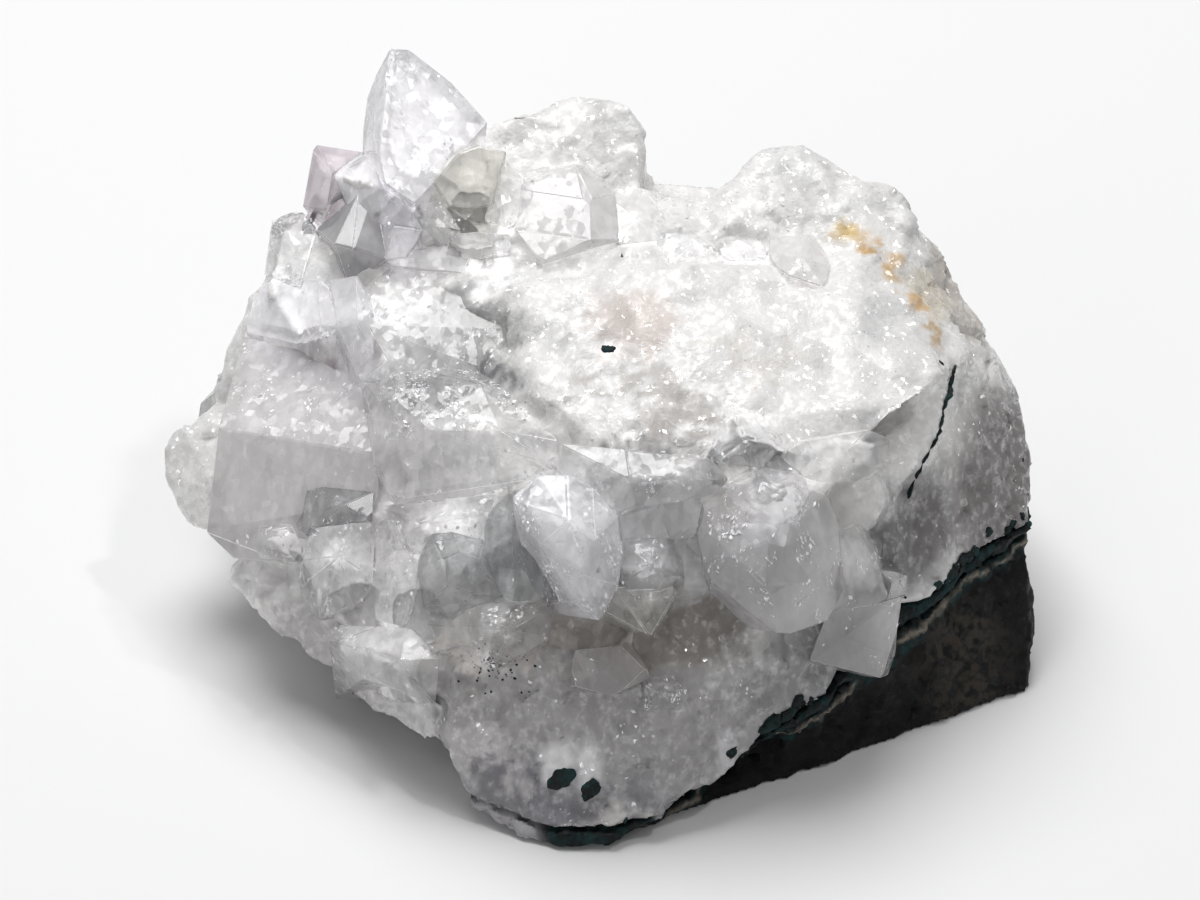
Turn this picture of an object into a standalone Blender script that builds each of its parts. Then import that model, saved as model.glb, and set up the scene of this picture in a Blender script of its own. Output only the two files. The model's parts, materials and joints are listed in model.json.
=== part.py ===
"""Apophyllite cluster: clear to milky crystals on a white mass, over a green rind and dark basalt.

Everything is set out as the specimen is seen from its front: millimetres across (to the right), up,
and out towards the viewer, whose eye is EYE_DISTANCE away and looks down by VIEW_TILT. The function
seen() turns such a point into the row frame: +Z up, the floor at z = 0, and the origin at the middle
of the flat it rests on.
"""

import math

import bmesh
import bpy
from mathutils import Matrix, Vector, noise

MM = 0.001

# Points nearer than this, in metres, are one point.
SAME_PLACE = 1e-7

# How the specimen is looked at while it is set out.
VIEW_TILT = math.radians(35.0)
EYE_DISTANCE = 500.0
EYE_HEIGHT = 40.0
MIDDLE_OUT = -18.0

# The middle of the flat it rests on, measured from the point under the viewer's aim.
REST_CENTRE = Vector((9.4, 32.1, 1.2))

# Sizes of the layers and of their surfaces, in millimetres.
RIND_THICKNESS = 1.7
JOINT_GAP = 0.3
BODY_VOXEL = 1.4
BODY_SHARE_OF_FACES = 0.15
CONTACT_CELL = 6.2
CONTACT_ROUGHNESS = 0.7
CONTACT_SPREAD = 3.0
FAR = 70.0

# The broken skin of the body, as (how wide the bumps are, how high they are) in millimetres.
BROAD_BUMPS = (6.5, 0.42)
LEDGES = (3.4, 0.3)
FINE_BUMPS = (2.3, 0.3)

# The bumps of the contact surface: how wide the broad and the fine ones are, and the fine ones' share.
CONTACT_BROAD = 5.0
CONTACT_FINE = 2.6
CONTACT_FINE_SHARE = 0.5
CONTACT_FULL_HEIGHT = 5.0

# How fast a contact point's weight falls off with distance.
CONTACT_POWER = -1.6

# Apophyllite's steep pyramid {101} stands at this angle to the flat end of the crystal.
PYRAMID_SLOPE = math.radians(60.4)

# The massive body as overlapping lumps, each the convex hull of a few points as they are seen.
LUMPS = {
    "core": [
        (0, 15, 2), (-8, 16, 1), (10, 15, 0), (17, 12, -5), (-15, 20, 0), (28, 15.5, -11), (-4, 25, 4),
        (10, 25, 4), (22, 22, -1), (30, 24, -9), (-3, 38, 4), (12, 37, 5.5), (26, 38, 0), (-22, 24, -5),
        (-27, 18.5, -12), (-34, 27.5, -18), (-35, 36, -19), (-25, 36, -8), (-33, 48, -23), (-24, 48, -12),
        (-12, 47, -5), (-30, 58, -23), (-24, 60, -16), (-12, 60, -12), (-22, 66, -22), (-8, 69, -25),
        (2, 66, -28), (12, 62, -25), (26, 65, -28), (31, 61, -28), (38, 50, -27), (42, 40, -25),
        (42, 30, -25), (41, 17, -23), (-30, 52, -36), (-20, 62, -36), (0, 64, -36), (24, 62, -36),
        (38, 45, -37), (-33, 36, -40), (0, 42, -50), (26, 42, -48), (-22, 42, -46), (40, 26, -32),
        (29, 12, -16),
    ],
    "ledge": [
        (-9, 56.5, -8), (-2.5, 58, -7.5), (5, 59, -8), (14, 58.8, -9), (23, 58.5, -10), (28.5, 55.8, -9),
        (33, 51, -7), (35.2, 48.6, -5.5), (34.4, 46.5, -2.5), (30, 44, 1), (27, 42, 2.5), (16, 40.5, 6),
        (9, 38.8, 7), (3, 39.8, 6.5), (-2, 41, 5.5), (-8, 46, 1), (27, 47, -14), (0, 44, -14),
    ],
    "flank_ridge": [
        (34, 48, -6.5), (34.5, 43, -5), (31, 39, -2), (27, 35, -0.5), (25.5, 31.5, -1), (24, 29.5, -3),
        (29, 30, -8), (33, 36, -9), (36, 43, -11), (36.5, 48.5, -11), (27, 38, -14),
    ],
    "flank": [
        (36, 49, -11), (38.3, 46, -14), (40.9, 46.5, -18), (43.4, 40.5, -20), (43.7, 36, -20),
        (43.4, 32, -19.5), (38, 30, -15), (33, 25.5, -10), (31, 24, -8), (28, 27, -6), (26, 29.5, -5),
        (30, 36, -9), (35, 44, -9.5), (40, 40, -34), (36, 28, -30), (33, 22, -20),
    ],
    "high_right": [
        (11.2, 64.8, -17), (12.6, 67.8, -18), (16, 70.8, -19), (20, 71, -20), (25.5, 67.6, -19),
        (31, 65.8, -19), (32, 64, -18), (31, 60, -15), (27, 57, -11.5), (18, 58, -11.5), (10, 60, -12.5),
        (20, 66, -36), (28, 60, -36), (12, 60, -34),
    ],
    "back_right": [
        (31.2, 62.5, -19), (34.6, 59.5, -21), (37, 54.5, -21.5), (38, 50.4, -21), (41, 47.8, -20.5),
        (42.4, 43.8, -20.5), (36, 49, -12.5), (33, 52, -11), (30, 58, -14), (36, 52, -38), (30, 58, -38),
        (40, 42, -38),
    ],
    "vein_slope": [
        (24, 60, -12), (30, 60, -14.5), (33.5, 56.5, -14.5), (36.8, 51, -13), (37.2, 48.6, -10.5),
        (35.2, 49, -7.6), (32.5, 52.4, -8.8), (28, 57, -10), (24, 59, -10.6), (30, 56, -25),
        (35, 47, -22), (25, 60, -22),
    ],
    "saddle": [
        (4, 65, -18), (7, 65.6, -18.5), (12, 65.2, -18.5), (14, 60, -13), (8, 59, -10), (2, 60, -11),
        (10, 59, -34), (0, 60, -32),
    ],
    "above_ledge": [
        (-14, 59, -11), (-6, 59.2, -9.8), (4, 60.4, -10.4), (12, 60, -11), (20, 59.2, -10.2),
        (-10, 64, -14), (4, 64.2, -15.2), (-14, 52, -12), (20, 52, -12), (0, 62, -24),
    ],
    "among_left": [
        (-28.4, 58.4, -15), (-24, 58.4, -13), (-27, 50.4, -13), (-22, 52, -11.4), (-31.4, 53, -17),
        (-22.6, 63.4, -15.4), (-30, 60.4, -19), (-18, 62, -14.4), (-26, 56, -26), (-16, 60, -24),
    ],
    "top_middle": [
        (-12, 72.8, -20), (-8, 74.2, -20.5), (-3, 75.4, -20.5), (-1, 76.2, -21), (2, 75.8, -21),
        (4.4, 73.8, -20.5), (4.8, 71, -20), (4.2, 69.4, -19.5), (4.8, 67.4, -19.5), (4.2, 65.6, -18.5),
        (-4, 66, -17), (-11, 66, -17), (-1, 70, -35), (-9, 68, -35), (3, 66, -33),
    ],
    "left_shoulder": [
        (-33.2, 60, -23), (-36.2, 54, -23), (-37.8, 50, -23), (-39.2, 46.5, -22), (-37, 45, -22),
        (-30, 60, -19), (-24, 59, -16), (-23, 50, -12), (-32, 48, -19), (-26, 56, -36), (-34, 46, -36),
    ],
    "left_lump": [
        (-44.4, 40.6, -24), (-44.2, 38, -24), (-42.4, 35, -24), (-41.6, 31.6, -24), (-38.5, 31, -22),
        (-38.3, 45.6, -24), (-37, 44, -20), (-36, 34, -18), (-36, 44, -34), (-38, 34, -33),
        (-40.5, 43, -25),
    ],
    "left_foot": [
        (-38, 27.4, -17), (-34.3, 23, -16), (-30.4, 20.6, -15), (-28, 18.8, -14), (-23.8, 16.6, -11),
        (-20.2, 12.6, -9), (-17.2, 9.6, -6), (-14, 15, -2), (-20, 22, -4), (-28, 26, -10), (-36, 31, -16),
        (-22, 22, -24), (-30, 30, -30),
    ],
    "low_middle": [
        (-16.2, 16, 0), (-16.4, 11, -4), (-14.7, 7.7, -3), (-12.8, 3.2, -2.5), (-8.4, 0.4, -1.5),
        (-3, -1.2, 0), (5.6, 2.4, 0.8), (10, 7.3, -3), (16, 11.5, -3), (25, 16, -6), (29, 22, -7),
        (22, 24, 0), (8, 24, 3.5), (-6, 24, 4), (-15, 21, 2), (0, 10, 2.5), (8, 13, 2.8), (-8, 11, 2),
        (0, 20, -20),
    ],
    "rock_corner": [
        (28.5, 18, -9), (31, 24.5, -10), (37, 29.5, -15.5), (42.8, 32, -20), (43.1, 24, -22),
        (43.2, 19.4, -21.5), (38, 22, -36), (20, 20, -30), (18, 11, -6),
    ],
}

# The rock's foot: its outline on the floor and a little higher, right and back of the aim point.
FOOT_ON_FLOOR = [
    (-4, -1), (5.3, 6.8), (10.2, 11.2), (18.5, 10.9), (24.9, 14.6), (29.1, 17.2), (34.8, 19.8),
    (36.8, 22.4), (43.6, 25.4), (42, 38), (34, 49), (20, 54), (0, 54), (-15, 48), (-19, 38), (-14, 20),
    (-8, 6),
]
FOOT_ABOVE = [(43.3, 29), (43, 44), (35, 55), (14, 61), (-10, 60), (-26, 52), (-30, 42)]
FOOT_ABOVE_HEIGHT = 7.0
FOOT_DEPTH = 2.0
FOOT_MIDDLE = (10, 20)

# Where the crystalline mass meets the green rind, as (right, back, height above the floor).
CONTACT = [
    (-8, 1, 1.6), (-3, 1, 1.7), (5, 4, 1.9), (9.8, 9, 1.9), (13.6, 8.6, 6.2), (16, 9.7, 8.0),
    (19.4, 11.2, 9.4), (26.4, 14.6, 8.6), (28, 15.8, 9.6), (29, 17.2, 12.6), (30, 19.7, 14.6),
    (32.4, 22.3, 14.6), (37.3, 29.8, 15.4), (43, 35.3, 14.6), (45, 45, 18), (34, 58, 16), (20, 64, 12),
    (0, 66, 9), (0, 50, 9), (0, 30, 7), (20, 35, 11), (-22, 58, 8), (-26, 44, 7), (-18, 28, 5),
    (-10, 12, 3),
]

# The crystals that show: how far each one's root runs into the body, and points of its faces as seen.
CRYSTALS = {
    "peak": (0, [
        (-20.9, 80.1, -18.8), (-19.2, 80.1, -19.3), (-22.4, 77.4, -19.5), (-23.2, 75.4, -20),
        (-23.7, 71.8, -19), (-23.8, 69.7, -18), (-21.4, 77, -17), (-21.7, 74.6, -15.5), (-22, 69.8, -12.5),
        (-21.4, 66.7, -11), (-18.5, 64.7, -10.5), (-17.7, 78.7, -19.3), (-15.1, 76.9, -18.9),
        (-13.4, 74.6, -18), (-11.3, 72.7, -17.5), (-14.1, 69.7, -14.6), (-19.6, 78, -24), (-14, 73.5, -25),
        (-22, 72, -26), (-20, 62, -27), (-12, 65, -26),
    ]),
    "peak_skirt": (0, [
        (-26.6, 67.5, -17), (-24, 69.8, -18.5), (-22.8, 70, -17), (-21.5, 66, -12.5), (-19.5, 64.4, -11.5),
        (-21.5, 62.5, -13), (-25, 64, -15.5), (-22, 66, -25), (-25, 63, -24),
    ]),
    "purple_block": (0, [
        (-28.3, 70.5, -21), (-23.8, 69.8, -22), (-26.8, 67.7, -17.5), (-27.4, 64.1, -16.5),
        (-29.7, 64.4, -20), (-28.7, 70, -21), (-27, 68, -29), (-23, 67, -29), (-28, 62, -27),
    ]),
    "dark_point": (0, [
        (-23.8, 65.8, -16.5), (-22.6, 65.4, -16.8), (-24.9, 60.2, -11.5), (-22.2, 58.2, -12.5),
        (-20.3, 61.7, -15.5), (-28.4, 62.2, -16.8), (-27.5, 59.5, -13.5), (-22, 61, -22), (-27, 60, -22),
        (-25, 56, -15),
    ]),
    "left_shine": (0, [
        (-32.8, 63, -21), (-29.7, 64.2, -20.5), (-28, 62, -17.5), (-29, 58.5, -15), (-33, 60.5, -19.5),
        (-33.5, 57.5, -18.5), (-30, 56, -14), (-31, 60, -29), (-28, 60, -27),
    ]),
    "left_steps": (0, [
        (-33.8, 56.8, -19), (-27, 57, -13.5), (-25.5, 53.5, -11.5), (-26.6, 51.6, -11), (-30, 50.5, -12.5),
        (-35.4, 51.8, -20), (-34.8, 54.5, -20.5), (-32, 55, -29), (-26, 54, -27),
    ]),
    "beige_block": (9, [
        (-16.6, 66.7, -12), (-14.1, 69.7, -14.8), (-12.1, 70.4, -16), (-9.4, 69.8, -15.5),
        (-10.3, 66.7, -12), (-10.8, 64.4, -10.5), (-13.1, 64.1, -9.8), (-15.1, 64.4, -10.5),
    ]),
    "beige_low": (8, [
        (-19, 63.8, -12.5), (-16, 65, -12), (-14, 62, -10), (-15, 60.5, -10.5), (-18, 60, -12),
        (-16.3, 62.5, -9.8),
    ]),
    "clear_bits": (8, [
        (-10.6, 66.5, -12.5), (-9.3, 68.7, -15), (-8.3, 67, -13.5), (-6.5, 66, -13.5), (-7.2, 64.5, -11.5),
        (-9, 62, -10), (-11.5, 63, -10.5), (-9.3, 65, -10.6),
    ]),
    "clear_low": (8, [
        (-14.7, 61.5, -10), (-12, 61.8, -9), (-9, 61.5, -9), (-8.8, 59.5, -8), (-12, 59, -8.5),
        (-15.5, 59.5, -10.5),
    ]),
    "high_shelf": (9, [
        (-21.3, 61.3, -15.5), (-13, 62, -13.5), (-8.5, 60, -11.5), (-9.3, 57.2, -10.5), (-15.5, 57.8, -12),
        (-22, 58.5, -13.5),
    ]),
    "top_block": (9, [
        (-2.5, 68.6, -15.5), (-8, 66, -13.5), (1.5, 65.5, -14), (2, 61, -11), (-6, 58.5, -9),
        (-8.5, 62, -11), (-1.2, 65, -11.8), (-1, 61, -9.6),
    ]),
    "top_second": (7, [
        (0, 66, -15.5), (4, 66.2, -16), (6.5, 63, -14), (6.5, 61, -12), (2, 60.5, -10.5),
        (3.8, 63.2, -12.4),
    ]),
    "rim_left": (6, [
        (5.5, 61.6, -12.5), (9, 61.8, -13), (12, 60, -11.5), (11.5, 58.6, -10), (7, 58.5, -9.2),
        (8.7, 60, -9.8),
    ]),
    "rim_right": (6, [
        (11.5, 61.2, -13), (15, 61.5, -13.5), (17, 60, -12), (16.5, 58.9, -10.5), (12.5, 58.8, -10),
        (14.2, 60, -10.8),
    ]),
    "rim_corner": (7, [
        (17, 61.2, -13), (21, 61.5, -13), (23, 58.5, -10.5), (22.5, 56.3, -8), (19, 57.5, -8),
        (17, 58.8, -10.5), (20.4, 59, -9),
    ]),
    "grey_slab": (12, [
        (-22.3, 58.3, -14.5), (-15.7, 57.6, -12.8), (-9.3, 57, -11.2), (-25, 54.5, -12.5),
        (-26.6, 52.4, -11.5), (-24, 46.7, -7.2), (-21.3, 49, -7.5), (-12.8, 48.5, -5.8),
        (-9.2, 47.3, -4.8), (-5, 52, -6.5), (-5, 56, -9.5), (-23.2, 52.5, -9.2),
    ]),
    "left_block": (0, [
        (-35.4, 51.9, -22), (-30.7, 49.9, -17.5), (-25.4, 49, -14.5), (-23.5, 46, -11),
        (-38.1, 42.3, -13.5), (-22, 39.7, -5.5), (-39.3, 31.8, -13), (-22.3, 34.5, -4.8),
        (-36.6, 29.2, -12.8), (-31, 28.6, -9.6), (-33, 50, -38), (-20, 47, -30), (-36, 32, -32),
        (-22, 32, -26),
    ]),
    "round_block": (12, [
        (-23.9, 46.7, -9), (-21.2, 48.7, -8.8), (-16.6, 49, -8), (-12.8, 48.5, -7.2), (-9.2, 47.3, -6),
        (-21.5, 46, -4.6), (-12, 46.6, -2.2), (-22.6, 43, -4), (-22.5, 38.5, -3), (-21, 35, -2.4),
        (-20, 34.3, -2.5), (-16, 34.5, -1), (-13.8, 35.7, 0), (-10, 36.8, 1.5), (-6.2, 37.2, 3),
        (-4.5, 38.5, 3.6), (-4.3, 41, 2.8), (-17, 42, -0.6), (-10, 42, 1.6),
    ]),
    "pocket_dark": (8, [
        (-29.3, 36.5, -8.5), (-22.6, 35.8, -5), (-22.8, 33, -3.5), (-28.4, 32.3, -6), (-29.6, 31.2, -7.5),
        (-30.5, 33, -9), (-25.5, 34.5, -4.4),
    ]),
    "pocket_clear": (8, [
        (-34, 32.5, -9.5), (-30.7, 32.5, -7.2), (-29.4, 30.5, -6), (-30.2, 28.7, -6), (-34, 29.2, -9),
        (-34.8, 31.2, -10), (-32, 30.7, -6.3), (-33, 31.6, -7.4),
    ]),
    "pocket_low": (10, [
        (-28.7, 32.2, -5), (-22.5, 32.8, -2.2), (-22.4, 27, -1.2), (-24.5, 24.5, -1.8), (-28, 23, -4),
        (-30, 26, -6.2), (-30, 29, -6.2), (-26, 29.5, -1),
    ]),
    "pocket_side": (9, [
        (-22.3, 33, -2.5), (-20, 32.8, -0.5), (-18.3, 28, 1.3), (-18.5, 24.5, 1.5), (-19.5, 22.3, 1),
        (-22.4, 23, -1), (-22.8, 28, -1.8), (-20.4, 29, 1.2),
    ]),
    "window_crystal": (9, [
        (-16.8, 31.6, 2), (-14.8, 31.8, 2.2), (-11.7, 31, 2.6), (-11.5, 28.3, 3.5), (-9.7, 25.5, 4.5),
        (-14.8, 23, 3), (-17.6, 24.2, 2), (-18.2, 27.8, 1.3), (-18.1, 29.1, 1), (-16.5, 29.6, 4.2),
        (-14.9, 30.4, 4.2), (-12.8, 28.8, 5.2), (-14.8, 27, 5.5),
    ]),
    "window_upper": (8, [
        (-22, 34.4, -3), (-18, 34.6, -1), (-12.5, 35.4, 1), (-10.5, 35.6, 2), (-12, 31, 2.6),
        (-16, 31.6, 2), (-19.5, 29.5, 0), (-18, 32.6, 1.4), (-13.2, 33, 3.2),
    ]),
    "behind_spear": (9, [
        (-9.7, 35.2, 4), (-8.5, 36, 4), (-10.7, 34.2, 4), (-11.6, 32.1, 4), (-11.5, 29.9, 4.5),
        (-9.7, 25.5, 5.5), (-8.7, 24.9, 6), (-2.6, 24.9, 8), (0, 27, 8.5), (-1, 34, 7), (-6, 29.8, 8),
        (-2, 30, 9), (-8, 33, 6.5),
    ]),
    "spear": (8, [
        (-6.1, 37.5, 7.5), (-3.3, 37.5, 8), (-0.8, 36.2, 8), (0.3, 34.7, 8.5), (1.8, 33.2, 9),
        (2.2, 29.9, 9.5), (1.8, 26.5, 10), (-0.1, 23, 11), (-2.6, 25, 10.5), (-3.3, 27.4, 11.3),
        (-6.1, 30.6, 10.5), (-7.7, 32.7, 9.5), (-8.5, 34.7, 8.5), (-8.7, 35.3, 8), (-3.2, 33, 11.5),
        (-0.5, 31, 12), (-1.5, 27.5, 12.5),
    ]),
    "right_of_spear": (8, [
        (2.4, 30.9, 7.5), (5.7, 31.3, 7.5), (7.2, 30.7, 7), (8.5, 28.1, 6.5), (8.7, 26.6, 6.3),
        (7.4, 25.3, 6.8), (4.5, 24.9, 8), (2, 26.5, 9), (5, 28.5, 9.8), (6.5, 27, 9),
    ]),
    "flap": (8, [
        (7.4, 25.3, 5.8), (5.2, 21.5, 6.3), (4.7, 21.6, 6.3), (0, 24, 7.3), (1.5, 26, 7.3), (7, 26, 5.8),
        (4.5, 24, 8),
    ]),
    "low_left_block": (10, [
        (-27.5, 21, -5), (-26.5, 22.5, -5.5), (-19, 22.2, -0.5), (-16, 19.2, 1.8), (-16.5, 14.5, 2),
        (-23.6, 17.2, -2), (-26.6, 19.4, -4.6), (-20, 19, 2.2),
    ]),
    "low_block": (9, [
        (-17, 25, 2), (-8, 24.3, 5.5), (-4.5, 24.7, 6), (-5.2, 21.2, 6.3), (-8, 19.5, 5.8), (-11, 18, 4.8),
        (-16, 20, 2.3), (-17.2, 22.5, 2), (-9, 22, 7.4),
    ]),
    "under_ledge": (9, [
        (-4, 40.6, 5), (2.5, 40, 7), (7, 38.8, 7.5), (11, 39, 7.5), (12.8, 37, 7.3), (11.5, 35.7, 7.4),
        (10.2, 35.3, 7.7), (5.4, 35.5, 9), (4.3, 34.4, 9), (0.8, 33.9, 8.5), (-0.8, 36.5, 7.5),
        (-4.3, 38, 5.5), (3, 37, 9.7), (7, 37, 9.6),
    ]),
    "step": (9, [
        (1.8, 33.4, 7.7), (5.4, 35.4, 8.2), (10, 35.2, 7.2), (9.8, 32.6, 7.2), (9.2, 31.2, 7),
        (6.9, 31.2, 7.5), (2.3, 31, 8),
    ]),
    "big_right_upper": (9, [
        (12.8, 36.6, 7.5), (15.9, 38.3, 7), (20.5, 37.4, 6.5), (21, 34.5, 8.5), (19.5, 32.5, 10),
        (14.5, 32.7, 10), (12.5, 34.5, 9), (16.5, 36, 10.2), (19, 36, 9.6),
    ]),
    "big_right": (10, [
        (10, 34.8, 6.5), (12, 35.8, 6.5), (21, 36, 6.5), (22.6, 35.5, 5.5), (23.8, 32.2, 4.5),
        (24.3, 25.8, 3.5), (22.5, 23, 4.5), (22, 22.8, 4.7), (18.7, 21.6, 5.5), (17.7, 21.7, 5.7),
        (16.9, 24.8, 7.8), (11.3, 26.9, 7), (10.3, 29, 7), (9.5, 32.7, 6.5), (18, 31.5, 10), (21, 27, 8),
        (17, 26, 9.5), (13, 29.5, 9),
    ]),
    "lens": (8, [
        (10.8, 39.6, 7.3), (12.9, 44.5, 5), (16.2, 43.9, 5), (18.3, 40.9, 6.3), (16.2, 38.3, 7.3),
        (11.6, 38.8, 7.8), (14.5, 41, 8.4),
    ]),
    "right_shelf": (9, [
        (18, 39.5, 6.5), (20.5, 40.9, 6), (26.9, 42, 3.3), (29.2, 40.9, 2.3), (28.2, 38.3, 3.3),
        (25.6, 36.8, 4.8), (22.3, 36.8, 6.1), (20.5, 37.3, 6.6), (24, 39.3, 7),
    ]),
    "low_right": (8, [
        (23.8, 31.7, 3.6), (25.4, 32.5, 2.6), (25.9, 30.7, 2.6), (27.9, 28.1, 1.6), (28.7, 25.3, 1),
        (27.7, 24.7, 1.5), (23.1, 23.8, 3.6), (24.3, 25.8, 4.6), (26, 28, 4.6),
    ]),
    "low_right_tip": (6, [
        (28, 28, 0.6), (30.7, 27.6, -2), (30.5, 25.6, -2.2), (28.7, 25.1, -0.6), (29.3, 26.8, 1.2),
    ]),
    "under_right": (9, [
        (22.8, 23.8, 2.4), (28.9, 24.8, -0.8), (30.2, 25.3, -3.2), (29.7, 22, -3.6), (28.9, 19.5, -4.2),
        (28.2, 17.2, -5.4), (21, 19, 0.6), (25.5, 21.5, 1.2),
    ]),
    "low_spark": (6, [
        (4, 17, 3.8), (7, 17.5, 3.8), (9, 15.5, 3.4), (8, 14, 3.4), (4.5, 14, 4), (6, 15.8, 5.4),
    ]),
    "low_facets": (7, [
        (-2.5, 20, 4.8), (3, 20.5, 5), (5, 17.5, 4.8), (1, 15.5, 4.6), (-3, 16.5, 4.4), (0.5, 18, 6),
    ]),
}

# The crystals of the hidden sides: tip as it would be seen, axis, width, turn in degrees and bluntness.
BACK_CRYSTALS = {
    "back_peak": ((-11, 69.5, -37), (-0.1, 0.75, -0.5), 11, 20, 0.1),
    "back_high": ((5, 64.5, -39), (0.15, 0.6, -0.7), 10, 50, 0.3),
    "back_left_high": ((-22, 64.5, -38), (-0.3, 0.6, -0.7), 10, 10, 0.8),
    "back_left": ((-31, 54, -41), (-0.6, 0.4, -0.6), 9, 35, 0.2),
    "back_left_low": ((-37, 43, -42), (-0.8, 0.1, -0.6), 10, 15, 1.2),
    "back_right_high": ((19, 65, -40), (0.1, 0.6, -0.8), 11, 75, 0.9),
    "back_right": ((31, 56, -42), (0.5, 0.4, -0.8), 11, 30, 0.2),
    "back_middle": ((-12, 60, -47), (-0.15, 0.35, -0.9), 13, 60, 1.3),
    "back_centre": ((7, 58, -49), (0.1, 0.2, -0.95), 12, 25, 0.15),
    "back_low": ((-12, 50, -53), (-0.1, 0.1, -1), 10, 40, 0.9),
    "back_low_left": ((-27, 46, -50), (-0.45, 0.1, -0.85), 10, 70, 0.2),
    "back_low_right": ((22, 51, -52), (0.3, 0.1, -0.95), 11, 15, 1.1),
    "back_edge": ((36, 47, -45), (0.7, 0.1, -0.7), 9, 55, 0.8),
}
BACK_CRYSTAL_LENGTH = 20.0

# How wide a crystal's root is against the crystal.
ROOT_SHARE = 0.83


def clear_scene():
    for obj in list(bpy.data.objects):
        bpy.data.objects.remove(obj, do_unlink=True)


def material(name, colour, roughness):
    mat = bpy.data.materials.new(name)
    mat.use_nodes = True
    shader = mat.node_tree.nodes["Principled BSDF"]
    shader.inputs["Base Color"].default_value = (*colour, 1.0)
    shader.inputs["Roughness"].default_value = roughness
    shader.inputs["Metallic"].default_value = 0.0
    return mat


def seen_direction(across, up, out):
    """A direction given as it is seen, as a row-frame vector of the same length."""
    tilt_sin, tilt_cos = math.sin(VIEW_TILT), math.cos(VIEW_TILT)
    return Vector((across, up * tilt_sin - out * tilt_cos, up * tilt_cos + out * tilt_sin))


def seen(across, up, out):
    """A point given as it is seen, in millimetres, as a row-frame point in metres."""
    spread = 1.0 - (out - MIDDLE_OUT) / EYE_DISTANCE
    place = seen_direction(across * spread, EYE_HEIGHT + (up - EYE_HEIGHT) * spread, out)
    return (place - REST_CENTRE) * MM


def on_floor(right, back, height=0.0):
    """A point given from the aim point and by its height over the floor, as a row-frame point in metres."""
    return Vector((right - REST_CENTRE.x, back - REST_CENTRE.y, height)) * MM


def hull(points):
    """The convex hull of row-frame points, as a bmesh."""
    bm = bmesh.new()
    for point in points:
        bm.verts.new(point)
    made = bmesh.ops.convex_hull(bm, input=bm.verts)
    spare = {v for v in made["geom_interior"] + made["geom_unused"] if isinstance(v, bmesh.types.BMVert)}
    bmesh.ops.delete(bm, geom=list(spare), context="VERTS")
    bmesh.ops.recalc_face_normals(bm, faces=bm.faces)
    return bm


def rooted(points, depth):
    """The points with four more behind them, which are the corners of the crystal's root in the body."""
    if not depth:
        return points
    lows, highs = [[pick(axis) for axis in zip(*points)] for pick in (min, max)]
    middle = [(low + high) / 2 for low, high in zip(lows, highs)]
    reach = [(high - low) / 2 * ROOT_SHARE for low, high in zip(lows, highs)]
    signs = [(1, 1), (1, -1), (-1, -1), (-1, 1)]
    back = [(middle[0] + x * reach[0], middle[1] + y * reach[1], lows[2] - depth) for x, y in signs]
    return points + back


def pyramid_crystal(tip, axis, width, turn, blunt):
    """A square prism closed by the steep pyramid, which the flat end cuts the lower the less blunt is."""
    up = seen_direction(*axis).normalized()
    side = (Vector((1, 0, 0)) - up * up.x).normalized()
    side = Matrix.Rotation(math.radians(turn), 3, up) @ side
    half = width / 2 * MM
    bm = bmesh.new()
    bmesh.ops.create_cube(bm, size=1.0)
    bmesh.ops.scale(bm, vec=(2 * half, 2 * half, BACK_CRYSTAL_LENGTH * MM), verts=bm.verts)
    bmesh.ops.translate(bm, vec=(0, 0, -BACK_CRYSTAL_LENGTH / 2 * MM), verts=bm.verts)
    apex = Vector((0, 0, half * math.sqrt(0.5) * math.tan(PYRAMID_SLOPE) * blunt))
    for quarter in range(4):
        around = math.radians(45 + 90 * quarter)
        slope = Vector((math.cos(around), math.sin(around), 0)) * math.sin(PYRAMID_SLOPE)
        cut(bm, apex, slope + Vector((0, 0, math.cos(PYRAMID_SLOPE))))
    basis = Matrix((side, up.cross(side), up)).transposed().to_4x4()
    bmesh.ops.transform(bm, matrix=Matrix.Translation(seen(*tip)) @ basis, verts=bm.verts)
    return bm


def cut(bm, point, normal):
    """Takes away what stands in front of a plane, and closes the solid there with a flat face."""
    everything = bm.verts[:] + bm.edges[:] + bm.faces[:]
    made = bmesh.ops.bisect_plane(
        bm, geom=everything, dist=SAME_PLACE, plane_co=point, plane_no=normal, clear_outer=True
    )
    edges = [e for e in made["geom_cut"] if isinstance(e, bmesh.types.BMEdge)]
    bmesh.ops.contextual_create(bm, geom=edges)


def helper_object(name, bm):
    """A mesh that only shapes others."""
    mesh = bpy.data.meshes.new(name)
    bm.to_mesh(mesh)
    bm.free()
    obj = bpy.data.objects.new(name, mesh)
    bpy.context.scene.collection.objects.link(obj)
    obj.hide_render = True
    obj.display_type = "WIRE"
    return obj


def settle(obj):
    """Replaces an object's mesh by what its modifiers make of it."""
    bpy.context.view_layer.update()
    made = bpy.data.meshes.new_from_object(obj.evaluated_get(bpy.context.evaluated_depsgraph_get()))
    obj.modifiers.clear()
    obj.data = made


def roughen(mesh):
    """Moves each point along its normal by broad and fine noise, so that the skin looks broken."""
    moves = []
    for vertex in mesh.vertices:
        at = vertex.co / MM
        broad = noise.noise(at / BROAD_BUMPS[0]) * BROAD_BUMPS[1]
        ledges = (noise.cell(at / LEDGES[0] + Vector((7, 3, 1))) - 0.5) * LEDGES[1]
        fine = noise.noise(at / FINE_BUMPS[0] + Vector((20, 5, 9))) * FINE_BUMPS[1]
        moves.append(vertex.normal * (broad + ledges + fine) * MM)
    for vertex, move in zip(mesh.vertices, moves):
        vertex.co += move


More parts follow.
